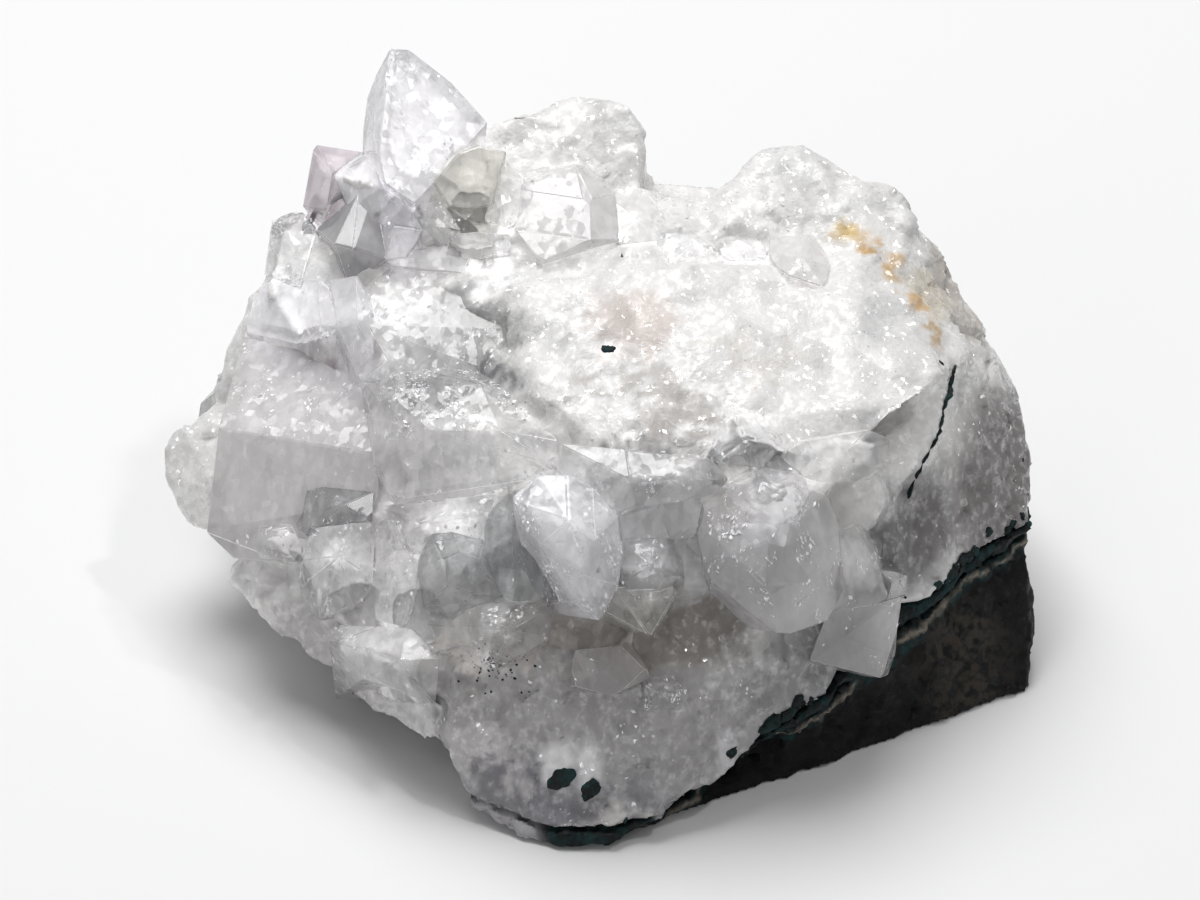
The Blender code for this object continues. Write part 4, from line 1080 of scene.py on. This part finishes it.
        # The stains and the painted shade, from the points' attribute; where they are darker, the flat
        # breaks lean further.
        tint_and_shade = s.attribute("tint_and_shade", "Color")
        veins = s.noise(s.vector("MULTIPLY", place, self.vein_stretch), 0.8, 6.0)
        shade = s.blend(s.ranged(veins, 0.36, 0.64), *self.veins)
        s.feed(shader.inputs["Base Color"], s.blend(1.0, tint_and_shade, shade, "MULTIPLY"))
        s.feed(shader.inputs["Roughness"], s.ranged(veins, 0.4, 0.62, 0.5, 0.25))
        shaded = s.ranged(tint_and_shade, 0.5, 0.8, 1.0, 0.4)
        planes = s.group(
            patterns.sparkle, Place=place, Cell_Size=self.plane_size, Tilt=self.plane_tilt, Mask=shaded
        )
        grain = s.group(patterns.grain, Place=place, Grain_Size=self.grain)
        grained = s.bumped(grain.outputs["Height"], planes.outputs["Normal"], 0.7, 0.12)
        s.feed(shader.inputs["Normal"], grained)
        glints = facet_normal(s, place, 1.0 / (self.glint_size * MM), self.glint_tilt)
        s.feed(shader.inputs["Coat Normal"], glints)
        s.feed(shader.inputs["Coat Weight"], s.ranged(veins, 0.45, 0.55))
        shader.inputs["Coat Roughness"].default_value = 0.1
        shader.inputs["Coat IOR"].default_value = 1.7
        shader.inputs["IOR"].default_value = 1.535
        return mat


BODY_FINISH = BodyFinish()
ROCK_SEEDS = (22, 32, 42)


@dataclass(frozen=True)
class RockFinish:
    """A dark rock: its two colours, its grain, and the colours of its seam, its lit patch, which is painted
    light, and its band.
    """

    name: str
    dark: Triple
    light: Triple
    seam: Triple
    grain: float
    roughness: float
    patch: Triple = (0.045, 0.038, 0.031)
    band_dark: Triple = (0.0018, 0.0045, 0.0052)
    band_light: Triple = (0.016, 0.044, 0.046)
    plane_size: float = 1.4
    plane_tilt: float = 0.9

    def material(self, patterns: Patterns) -> bpy.types.Material:
        """Builds the material."""
        mat, s, shader, place = started(self.name)
        mottle = s.noise(place, 1.1, 5.0)
        shades = s.ranged(mottle, 0.42, 0.66)
        colour = s.blend(shades, self.dark, self.light)
        # A lighter brown where the rock catches the light: painted light, speckled by the mottle.
        speckled = s.math("MULTIPLY", s.attribute("patch"), s.ranged(mottle, 0.4, 0.6))
        colour = s.blend(speckled, colour, self.patch)
        colour = s.blend(s.attribute("band"), colour, s.blend(shades, self.band_dark, self.band_light))
        s.feed(shader.inputs["Base Color"], s.blend(s.attribute("seam"), colour, self.seam))
        s.feed(shader.inputs["Roughness"], s.ranged(mottle, 0.3, 0.7, self.roughness, 0.95))
        shader.inputs["Specular IOR Level"].default_value = 0.3
        grain = s.group(patterns.grain, Place=place, Grain_Size=self.grain)
        planes = s.group(
            patterns.sparkle, Place=place, Cell_Size=self.plane_size, Tilt=self.plane_tilt, Mask=1.0
        )
        grained = s.bumped(grain.outputs["Height"], planes.outputs["Normal"], 0.9, 0.2)
        s.feed(shader.inputs["Normal"], grained)
        return mat


@dataclass(frozen=True)
class FlakeFinish:
    """The small breaks that show as bright flecks."""

    name: str = "bright_flecks"
    colour: Triple = (0.93, 0.93, 0.95)
    dim: float = 0.75

    def material(self) -> bpy.types.Material:
        """Builds the material."""
        mat, s, shader, place = started(self.name)
        tone = s.ranged(s.noise(place, 0.8, 2.0), 0.4, 0.6)
        dim = tuple(self.dim * share for share in self.colour)
        s.feed(shader.inputs["Base Color"], s.blend(tone, dim, self.colour))
        shader.inputs["Roughness"].default_value = 0.2
        shader.inputs["IOR"].default_value = 1.9
        return mat


@dataclass
class CrystalCrust:
    """Every crystal as its own closed solid: flat faces, low growth steps, small breaks and worn edges."""

    chip_depth: tuple[float, float] = (0.08, 0.5)
    chip_share: float = 2.0
    merged: float = 0.05
    flat: float = math.radians(4.0)
    sharp: float = math.radians(32.0)
    plain_share: float = 0.35
    step_height: tuple[float, float] = (0.04, 0.1)
    step_inset: tuple[float, float] = (0.06, 0.2)
    least_face: float = 6.0
    edge: float = 0.06
    seed: int = 7

    def shaped(self, crystal: Crystal | BackCrystal, rng: random.Random) -> bpy.types.Object:
        """Builds one crystal with its breaks and growth steps.

        Args:
            crystal: what it is.
            rng: the source of the breaks' directions.

        Returns:
            The crystal's object.
        """
        obj = hull_of(crystal.name, crystal.points())
        shallow, deep = self.chip_depth
        for _ in range(round(crystal.chips * self.chip_share)):
            out = VIEW.direction(rng.uniform(-1, 1), rng.uniform(-0.8, 1), rng.uniform(-0.1, 0.8))
            out.normalize()
            reach = max(coordinates(obj) @ np.array(out))
            depth = (shallow + (deep - shallow) * rng.random() ** 2) * MM
            cut = {"plane_co": out * (reach - depth), "plane_no": out}
            with editing(obj):
                bpy.ops.mesh.bisect(**cut, use_fill=True, clear_outer=True, threshold=TINY)
        with editing(obj):
            bpy.ops.mesh.remove_doubles(threshold=self.merged * MM)
            bpy.ops.mesh.select_all(action="SELECT")
            bpy.ops.mesh.convex_hull()
            bpy.ops.mesh.dissolve_limited(angle_limit=self.flat)
        self.stepped(obj, rng)
        return obj

    def stepped(self, obj: bpy.types.Object, rng: random.Random) -> None:
        """Raises a low growth step on a crystal's large faces, no wider than the face allows.

        Args:
            obj: the crystal.
            rng: the source of the steps' sizes.
        """
        large = [f.index for f in obj.data.polygons if f.area > self.least_face * MM * MM]
        for index in large:
            face = obj.data.polygons[index]
            corners = [obj.data.vertices[i].co for i in face.vertices]
            around = sum((one - other).length for one, other in zip(corners, [corners[-1], *corners]))
            width = rng.uniform(*self.step_inset) * 2 * face.area / around
            height = rng.uniform(*self.step_height) * MM
            if rng.random() < self.plain_share:
                continue
            activate(obj)
            for kind in (obj.data.vertices, obj.data.edges, obj.data.polygons):
                kind.foreach_set("select", [False] * len(kind))
            obj.data.polygons[index].select = True
            bpy.ops.object.mode_set(mode="EDIT")
            bpy.ops.mesh.select_mode(type="FACE")
            bpy.ops.mesh.inset(thickness=width, depth=height, use_even_offset=False)
            bpy.ops.object.mode_set(mode="OBJECT")

    def build(self, patterns: Patterns) -> list[bpy.types.Object]:
        """Builds all crystals, one piece for each clarity."""
        rng = random.Random(self.seed)
        groups: dict[Clarity, list[bpy.types.Object]] = {}
        for crystal in [*CRYSTALS, *BACK_CRYSTALS]:
            groups.setdefault(crystal.clarity, []).append(self.shaped(crystal, rng))
        pieces = []
        for clarity, objects in groups.items():
            finish = FINISHES[clarity]
            piece = joined(f"{clarity.value}_crystals", objects)
            piece.data.materials.clear()
            piece.data.materials.append(finish.material(patterns))
            piece.data.materials.append(finish.edge_material())
            worn = {"limit_method": "ANGLE", "angle_limit": self.sharp, "material": 1}
            modify(piece, "BEVEL", width=self.edge * MM, segments=1, **worn)
            modify(piece, "TRIANGULATE")
            # The crystals take the body's stains and painted shade, at each finish's own strength.
            BODY_FINISH.tint_and_shade(piece, finish.tint_and_shade_strength)
            activate(piece)
            bpy.ops.object.shade_flat()
            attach(piece, BODY)
            pieces.append(piece)
        return pieces


@dataclass
class Flecks:
    """The small breaks that shine white, on and just under the crystals' faces and over the mass."""

    radius: tuple[float, float] = (0.06, 0.45)
    stretch: tuple[float, float] = (0.2, 0.7)
    lean: float = 0.22
    swerve: float = 0.3
    shown: float = 0.55
    depth: tuple[float, float] = (0.05, 0.9)
    thickness: float = 0.03
    corners: int = 4
    crowd: float = 5.0
    cluster: float = 2.2
    buried: float = 0.3
    on_body: int = 3600
    most: int = 20000
    seed: int = 11

    def flake(self, centre: Vector, lie: Matrix, rng: random.Random) -> tuple[list[Vector], list[list[int]]]:
        """One thin, uneven plate.

        Args:
            centre: its middle.
            lie: how it lies.
            rng: the source of its outline.

        Returns:
            Its points and faces.
        """
        least, most = self.radius
        size = least + (most - least) * rng.random() ** 3
        stretch = rng.uniform(*self.stretch)
        ring = []
        for corner in range(self.corners):
            around = 2 * math.pi * corner / self.corners
            reach = size * rng.uniform(0.5, 1.0) * MM
            ring.append(Vector((math.cos(around) * reach, math.sin(around) * reach * stretch, 0)))
        half = Vector((0, 0, self.thickness / 2 * MM))
        points = [centre + lie @ p for p in [*ring, half, -half]]
        n = self.corners
        faces = [[i, (i + 1) % n, n] for i in range(n)]
        faces += [[(i + 1) % n, i, n + 1] for i in range(n)]
        return points, faces

    def lie(self, out: Vector, along: Vector, rng: random.Random) -> Matrix:
        """How a plate lies: nearly flat on a face, its length roughly along the crystal's grain.

        Args:
            out: the face's outward direction.
            along: the grain's direction.
            rng: the source of the unevenness.

        Returns:
            The plate's axes as columns.
        """
        out = (out + Vector([rng.gauss(0, self.lean) for _ in range(3)])).normalized()
        along = along + Vector([rng.gauss(0, self.swerve) for _ in range(3)])
        level = (along - out * along.dot(out)).normalized()
        return Matrix((level, out.cross(level), out)).transposed()

    def on_crystals(self, rng: random.Random) -> list[Spot]:
        """Chooses places on the crystals' faces, in clusters."""
        chosen = []
        for crystal in [*CRYSTALS, *BACK_CRYSTALS]:
            probe = hull_of("probe", crystal.points())
            along = VIEW.direction(rng.gauss(0, 0.4), 1, rng.gauss(0, 0.3)).normalized()
            for face in probe.data.polygons:
                corners = [probe.data.vertices[i].co.copy() for i in face.vertices]
                tries = face.area / (MM * MM) * self.crowd * crystal.veils / 30
                for _ in range(int(tries + rng.random())):
                    first, second = sorted((rng.random(), rng.random()))
                    spot = corners[0] * first + corners[1] * (second - first) + corners[2] * (1 - second)
                    if noise.noise(spot / (self.cluster * MM)) < rng.uniform(-0.1, 0.4):
                        continue
                    depth = 0.01 if rng.random() < self.shown else -rng.uniform(*self.depth)
                    chosen.append((spot + face.normal * depth * MM, self.lie(face.normal, along, rng)))
            bpy.data.objects.remove(probe, do_unlink=True)
        return chosen

    def over_body(self, body: bpy.types.Object, rng: random.Random) -> list[Spot]:
        """Chooses places on the white mass, in clusters."""
        chosen = []
        while len(chosen) < self.on_body:
            vertex = body.data.vertices[rng.randrange(len(body.data.vertices))]
            crowded = noise.noise(vertex.co / (3 * self.cluster * MM)) > rng.uniform(-0.2, 0.4)
            if crowded and vertex.co.z > MM:
                along = Vector([rng.gauss(0, 1) for _ in range(3)])
                chosen.append((vertex.co + vertex.normal * 0.02 * MM, self.lie(vertex.normal, along, rng)))
        return chosen

    def build(self, body: bpy.types.Object) -> list[bpy.types.Object]:
        """Builds the flecks, in pieces of no more than the most that one holds.

        Args:
            body: the white mass.

        Returns:
            The pieces.
        """
        rng = random.Random(self.seed)
        skin = surface_of(body)
        chosen = [place for place in self.on_crystals(rng) if not self.hidden(skin, place[0])]
        chosen += self.over_body(body, rng)
        finish = FlakeFinish().material()
        pieces = []
        for start in range(0, len(chosen), self.most):
            points: list[Vector] = []
            faces: list[list[int]] = []
            for spot, lie in chosen[start : start + self.most]:
                more, sides = self.flake(spot, lie, rng)
                faces += [[len(points) + i for i in side] for side in sides]
                points += more
            obj = new_object(f"flecks_{len(pieces) + 1}", points, faces)
            obj.data.materials.append(finish)
            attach(obj, BODY)
            pieces.append(obj)
        return pieces

    def hidden(self, skin: BVHTree, spot: Vector) -> bool:
        """Whether a place is buried in the white mass."""
        nearest, out, _, _ = skin.find_nearest(spot)
        return (nearest - spot).dot(out) > self.buried * MM


@dataclass
class MilkyBody:
    """The white mass with the milky cores of the crystals on it."""

    voxel: float = 0.5
    evening: int = 4
    shared: float = 0.6
    sunk: float = 0.4
    core_relief: float = 0.12
    core_broken: float = 0.12
    broken_size: float = 4.2
    broken_height: float = 0.42
    fine: float = 0.04
    ledge_centre: Triple = (13, 50, -4)
    ledge_reach: Triple = (28, 17, 12)
    ledge_flat: float = 0.85
    ledge_relief: float = 0.22

    def pulled(self, places: np.ndarray) -> tuple[np.ndarray, np.ndarray]:
        """Draws the mass back inside each crystal, so that a clear rim is left.

        Args:
            places: the mass's points.

        Returns:
            How the points move, and how far each is drawn back, from 0 to 1.
        """
        moves = np.zeros_like(places)
        inside = np.zeros(len(places))
        for crystal in [*CRYSTALS, *BACK_CRYSTALS]:
            corners = crystal.points()
            probe = hull_of("probe", corners)
            flats = [(np.array(f.normal), np.array(f.center)) for f in probe.data.polygons]
            middle = np.array(sum(corners, Vector()) / len(corners))
            bpy.data.objects.remove(probe, do_unlink=True)
            depth = np.full(len(places), np.inf)
            outward = np.zeros_like(places)
            for normal, centre in flats:
                gap = (centre - places) @ normal
                outward[gap < depth] = normal
                depth = np.minimum(depth, gap)
            held = (depth > -crystal.near * MM) & (inside == 0)
            pull = CORE_PULL[crystal.clarity]
            moves[held] = (middle - places[held]) * pull
            moves[held] += np.minimum(depth[held], 0.0)[:, None] * outward[held]
            inside[held] = pull
        return moves, inside

    def evened(self, obj: bpy.types.Object, moves: np.ndarray) -> np.ndarray:
        """Evens out moves between neighbouring points, so that no spike stands where two crystals meet.

        Args:
            obj: the mesh.
            moves: a move for each of its points.

        Returns:
            The evened moves.
        """
        ends = np.empty(len(obj.data.edges) * 2, np.int32)
        obj.data.edges.foreach_get("vertices", ends)
        first, second = ends.reshape(-1, 2).T
        count = np.maximum(np.bincount(ends, minlength=len(moves)), 1)[:, None]
        for _ in range(self.evening):
            total = np.zeros_like(moves)
            np.add.at(total, first, moves[second])
            np.add.at(total, second, moves[first])
            moves = (1 - self.shared) * moves + self.shared * total / count
        return moves

    def build(self, patterns: Patterns) -> bpy.types.Object:
        """Builds the body as a finer copy of its solid."""
        obj = finer_copy("milky_body", "crystal_mass", self.voxel)
        places = coordinates(obj)
        out = normals(obj)
        # The stains and the painted shade are written on the body's points.
        BODY_FINISH.tint_and_shade(obj)
        ledge = Zone(self.ledge_centre, self.ledge_reach, (0, 0, 0)).share(places, np.zeros_like(places))
        moves, inside = self.pulled(places)
        moves -= out * (self.sunk * MM * (inside > 0))[:, None]
        places += self.evened(obj, moves)
        places[inside > 0] = self.evened(obj, places)[inside > 0]
        free = (1.0 - self.ledge_flat * ledge) * np.where(inside > 0, self.core_broken, 1.0)
        free = self.evened(obj, free[:, None])[:, 0]
        rise = self.broken_height * broken(places, self.broken_size, 3.0) * free
        rise += 0.25 * self.broken_height * broken(places, 0.4 * self.broken_size, 8.0) * free
        rise += self.ledge_relief * bumps(places, 3.5, 2.0) * ledge
        core = bumps(places, 1.3, 12.0) + 0.6 * bumps(places, 0.7, 15.0, "ridges")
        rise += self.core_relief * inside * core
        rise += self.fine * bumps(places, 0.8, 9.0)
        places += out * (rise * MM)[:, None]
        places[:, 2] = np.maximum(places[:, 2], 0.0)
        move_points(obj, places)
        obj.data.materials.append(BODY_FINISH.material(patterns))
        return obj


@dataclass
class GreenRind:
    """The dark green, granular layer between the mass and the rock."""

    voxel: float = 0.4
    grains: float = 0.35
    covered: tuple[Zone, ...] = (
        Zone((-14, 1, -1), (9, 9, 9), (1, 1, 1), 1.0, 1.0),
        Zone((7.6, 3.5, 0), (2.6, 5, 5), (1, 1, 1), 1.0, 0.8),
    )
    finish: RockFinish = RockFinish(
        "green_rind", (0.0016, 0.0042, 0.0048), (0.014, 0.038, 0.04), (0.42, 0.41, 0.43), 0.5, 0.45
    )

    def build(self, patterns: Patterns) -> bpy.types.Object:
        """Builds the rind as a finer copy of its solid."""
        obj = finer_copy("rind", "green_rind", self.voxel)
        places = coordinates(obj)
        wander = wandering(places, 2.0, ROCK_SEEDS)
        white = np.clip(sum(4.0 * zone.share(places, wander) for zone in self.covered), 0.0, 1.0)
        keep_values(obj, "seam", white)
        rise = self.grains * (0.7 * broken(places, 1.1, 3.0) + 0.5 * bumps(places, 2.5, 6.0))
        places += normals(obj) * (rise * MM)[:, None]
        places[:, 2] = np.maximum(places[:, 2], 0.0)
        move_points(obj, places)
        obj.data.materials.append(self.finish.material(patterns))
        return obj


@dataclass
class Basalt:
    """The broken wedge of rock that it all stands on, with a pale seam under the rind and a lighter brown
    patch of painted light on its right.
    """

    voxel: float = 0.45
    broken_size: float = 2.2
    broken_height: float = 0.3
    seam: tuple[float, float] = (1.15, 0.4)
    band: tuple[float, float] = (1.7, 2.2)
    band_relief: float = 0.35
    thickening: float = 1.5
    thicker: tuple[Zone, ...] = (
        Zone((31, 22, -6), (6, 8, 8), (1, 1, 1), 1.0, 1.0),
        Zone((20, 13, -3), (6, 6, 8), (1, 1, 1), 1.0, 1.0),
    )
    # Where painted light lightens the rock's right side.
    lit: Zone = Zone((38, 19, -13), (8, 8, 14), (0, 0, 0), 1.0, 1.0)
    finish: RockFinish = RockFinish(
        "basalt", (0.001, 0.0013, 0.0015), (0.0075, 0.0075, 0.008), (0.27, 0.24, 0.2), 0.6, 0.5
    )

    def build(self, patterns: Patterns, rind: bpy.types.Object) -> bpy.types.Object:
        """Builds the rock as a finer copy of its solid.

        Args:
            patterns: the shared node groups.
            rind: the layer above it, along which the seam runs.

        Returns:
            The rock.
        """
        obj = finer_copy("basalt", "basalt_matrix", self.voxel)
        places = coordinates(obj)
        over = surface_of(rind)
        gaps = np.array([over.find_nearest(Vector(p))[3] or 0.0 for p in places]) / MM
        wandered = gaps + 0.5 * bumps(places, 2.6, 13.0) + 0.2 * bumps(places, 0.9, 14.0)
        wander = wandering(places, 2.0, ROCK_SEEDS)
        thick = self.thickening * sum(zone.share(places, wander) for zone in self.thicker)
        band = 1.0 - soft_step(wandered - thick, *self.band)
        line = 1.0 - soft_step(np.abs(wandered - self.seam[0]), 0.0, self.seam[1])
        line *= soft_step(bumps(places, 3.0, 23.0), -0.7, -0.2)
        keep_values(obj, "seam", line)
        keep_values(obj, "band", band)
        # Marks the painted light on the rock's right.
        keep_values(obj, "patch", self.lit.share(places, wander))
        ridges = 0.4 * bumps(places, 0.9, 4.0, "ridges")
        rise = self.broken_height * (broken(places, self.broken_size, 2.0) + ridges)
        rise += self.band_relief * band * broken(places, 1.2, 5.0)
        rise *= soft_step(places[:, 2], 0.0, 0.8 * MM)
        places += normals(obj) * (rise * MM)[:, None]
        places[:, 2] = np.maximum(places[:, 2], 0.0)
        move_points(obj, places)
        obj.data.materials.append(self.finish.material(patterns))
        return obj


@dataclass
class Nodules:
    """The dark green lumps, the dark fill of the crack and the black specks in the white mass.

    A lump is given by where it is seen, half its length, its width over its length, and how far its length
    is turned from level, in degrees. The crack is given by its points and half its width there, and the rim,
    along which small lumps lie, by its points.
    """

    lumps: tuple[tuple[float, float, float, float, float], ...] = (
        (0.8, 50.1, 0.75, 0.75, 0.0),
        (-3.9, 7.1, 1.75, 0.55, 30.0),
        (-1.0, 6.0, 1.1, 0.75, 50.0),
        (13.2, 9.8, 0.9, 0.75, 60.0),
        (16.9, 12.5, 1.5, 0.6, 25.0),
        (18.6, 13.4, 1.2, 0.7, 10.0),
        (-5.5, 1.2, 0.7, 0.7, 90.0),
        (34.1, 48.7, 0.45, 0.5, -25.0),
    )
    crack: tuple[Triple, ...] = (
        (35.5, 48.3, 0.2), (35.2, 47.3, 0.26), (34.9, 46.2, 0.26), (34.6, 45.1, 0.26), (34.3, 44.0, 0.3),
        (34.1, 43.0, 0.5), (33.9, 42.1, 0.24), (33.6, 41.1, 0.18), (33.0, 40.1, 0.16), (32.3, 38.9, 0.14),
        (31.6, 37.4, 0.12), (30.8, 35.8, 0.1),
    )
    crack_overlap: float = 0.72
    finish: RockFinish = RockFinish(
        "dark_nodules", (0.0015, 0.004, 0.0045), (0.014, 0.04, 0.042), (0.1, 0.1, 0.1), 0.4, 0.45
    )
    specks: int = 60
    speck_middle: tuple[float, float] = (-10.8, 18.3)
    speck_reach: tuple[float, float] = (3.6, 2.6)
    speck_size: tuple[float, float] = (0.07, 0.22)
    rim: tuple[tuple[float, float], ...] = (
        (42.6, 32.4), (40.5, 31.0), (38.5, 29.2), (36.6, 27.2), (34.5, 25.6), (32.6, 24.2), (31.0, 22.6),
        (30.0, 20.4), (29.3, 18.2), (28.0, 16.0), (25.6, 14.8), (23.0, 14.2), (20.8, 13.8), (4.2, 2.2),
        (1.5, 0.6), (-1.5, -0.4),
    )
    rim_lumps: int = 16
    rim_size: tuple[float, float] = (0.2, 1.0)
    rim_flat: tuple[float, float] = (0.5, 0.9)
    thick: float = 0.4
    sunk: float = 0.12
    relief: tuple[float, float] = (0.3, 0.2)
    seed: int = 3

    def lump(self, spot: Vector, out: Vector, along: Vector, size: float, flat: float) -> bpy.types.Object:
        """One lump, half sunk in the surface.

        Args:
            spot: where it sits.
            out: the surface's normal there.
            along: the direction that its length is near to.
            size: half its length in millimetres.
            flat: its width over its length.

        Returns:
            The lump.
        """
        detail = 4 if size > 0.6 else 3 if size > 0.25 else 1
        bpy.ops.mesh.primitive_ico_sphere_add(subdivisions=detail, radius=size * MM, location=(0, 0, 0))
        obj = bpy.context.object
        places = coordinates(obj) * np.array([1.0, flat, self.thick])
        large, small = self.relief
        relief = large * bumps(places, 0.7 * size, spot.x * 900)
        relief += small * bumps(places, 0.3 * size, spot.y * 900)
        places *= (1.0 + relief)[:, None]
        level = (along - out * along.dot(out)).normalized()
        lie = Matrix((level, out.cross(level), out)).transposed()
        places = places @ np.array(lie).T + np.array(spot - out * self.sunk * size * MM)
        move_points(obj, places)
        return obj

    def build(
        self, patterns: Patterns, body: bpy.types.Object, crystals: list[bpy.types.Object]
    ) -> bpy.types.Object:
        """Builds all lumps and specks as one piece.

        Args:
            patterns: the shared node groups.
            body: the mass that they sit in.
            crystals: the crystals' pieces, which keep the rim's lumps out.

        Returns:
            The piece.
        """
        skin = surface_of(body)
        covers = [surface_of(piece) for piece in crystals]
        rng = random.Random(self.seed)
        wanted = [*self.lumps]
        for _ in range(self.specks):
            x = rng.gauss(self.speck_middle[0], self.speck_reach[0] / 2)
            y = rng.gauss(self.speck_middle[1], self.speck_reach[1] / 2)
            wanted.append((x, y, rng.uniform(*self.speck_size), 0.8, rng.uniform(0, 180)))
        for x, y in self.rim:
            for _ in range(self.rim_lumps):
                spot = (x + rng.gauss(0, 1.0), y + rng.uniform(-0.4, 1.1))
                if any(cover.ray_cast(VIEW.eye(), VIEW.ray(*spot))[0] for cover in covers):
                    continue
                size = rng.uniform(*self.rim_size)
                flat = rng.uniform(*self.rim_flat)
                wanted.append((*spot, size, flat, rng.uniform(0, 180)))
        made = []
        for across, up, size, flat, turn in wanted:
            spot, out, _, _ = skin.ray_cast(VIEW.eye(), VIEW.ray(across, up))
            if spot is not None:
                level = Vector((1, 0, 0)) - out * out.x
                along = Matrix.Rotation(math.radians(turn), 3, out) @ level
                made.append(self.lump(spot, out, along, size, flat))
        for first, second in zip(self.crack, self.crack[1:]):
            start, out, _, _ = skin.ray_cast(VIEW.eye(), VIEW.ray(*first[:2]))
            end, _, _, _ = skin.ray_cast(VIEW.eye(), VIEW.ray(*second[:2]))
            size = (end - start).length / MM * self.crack_overlap
            made.append(self.lump((start + end) / 2, out, end - start, size, first[2] / size))
        obj = joined("dark_nodules", made)
        obj.data.materials.clear()
        obj.data.materials.append(self.finish.material(patterns))
        activate(obj)
        bpy.ops.object.shade_smooth()
        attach(obj, BODY)
        return obj


@dataclass
class Studio:
    """A plain pale floor, soft light from above and a camera at the photograph's angle."""

    lens: float = 150.0
    sensor: float = 36.0
    floor_half: float = 1.5
    floor_colour: Triple = (0.86, 0.86, 0.865)
    floor_gap: float = 0.2
    sky: float = 0.22
    middle: Triple = (0.0, 0.0, 0.02)

    def floor(self) -> None:
        """Lays the floor."""
        deselect()
        place = (0, 0, -self.floor_gap * MM)
        bpy.ops.mesh.primitive_plane_add(size=2 * self.floor_half, location=place)
        floor = bpy.context.object
        floor.name = "floor"
        mat, _, shader, _ = started("pale_floor")
        shader.inputs["Base Color"].default_value = (*self.floor_colour, 1.0)
        shader.inputs["Roughness"].default_value = 0.9
        floor.data.materials.append(mat)

    def lamp(self, name: str, place: Triple, aim: Triple, size: float, power: float) -> None:
        """Hangs a soft square lamp.

        Args:
            name: its name.
            place: where it hangs, in metres.
            aim: what it points at, in metres.
            size: its side in metres.
            power: its power in watts.
        """
        light = bpy.data.lights.new(name, "AREA")
        light.size = size
        light.energy = power
        lamp = bpy.data.objects.new(name, light)
        lamp.location = place
        lamp.rotation_euler = (Vector(aim) - Vector(place)).to_track_quat("-Z", "Y").to_euler()
        bpy.context.scene.collection.objects.link(lamp)

    def build(self) -> None:
        """Builds floor, lights, world and camera."""
        self.floor()
        self.lamp("top", (-0.1, 0.25, 0.75), self.middle, 0.5, 5.4)
        self.lamp("front", (-0.35, -0.6, 0.35), self.middle, 0.4, 0.5)
        self.lamp("spark", (0.25, -0.1, 0.6), self.middle, 0.03, 0.5)
        world = bpy.data.worlds.new("studio")
        world.use_nodes = True
        world.node_tree.nodes["Background"].inputs["Color"].default_value = (1.0, 1.0, 1.0, 1.0)
        world.node_tree.nodes["Background"].inputs["Strength"].default_value = self.sky
        bpy.context.scene.world = world
        camera = bpy.data.cameras.new("camera")
        camera.lens = self.lens
        camera.sensor_width = self.sensor
        camera.clip_start = 0.01
        obj = bpy.data.objects.new("camera", camera)
        obj.location = VIEW.eye()
        obj.rotation_euler = (math.pi / 2 - VIEW.tilt, 0.0, 0.0)
        bpy.context.scene.collection.objects.link(obj)
        bpy.context.scene.camera = obj
        bpy.context.scene.view_settings.view_transform = "Standard"


def main() -> None:
    """Builds every piece in order, then the studio."""
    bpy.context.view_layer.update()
    patterns = Patterns()
    body = MilkyBody().build(patterns)
    log.info("milky body: %d faces", len(body.data.polygons))
    rind = GreenRind().build(patterns)
    log.info("rind: %d faces", len(rind.data.polygons))
    rock = Basalt().build(patterns, rind)
    log.info("basalt: %d faces", len(rock.data.polygons))
    crystals = CrystalCrust().build(patterns)
    for piece in crystals:
        log.info("%s: %d faces", piece.name, len(piece.data.polygons))
    for piece in Flecks().build(body):
        log.info("%s: %d faces", piece.name, len(piece.data.polygons))
    dark = Nodules().build(patterns, body, crystals)
    log.info("dark nodules: %d faces", len(dark.data.polygons))
    Studio().build()
    bpy.context.view_layer.update()


if __name__ == "__main__":
    main()
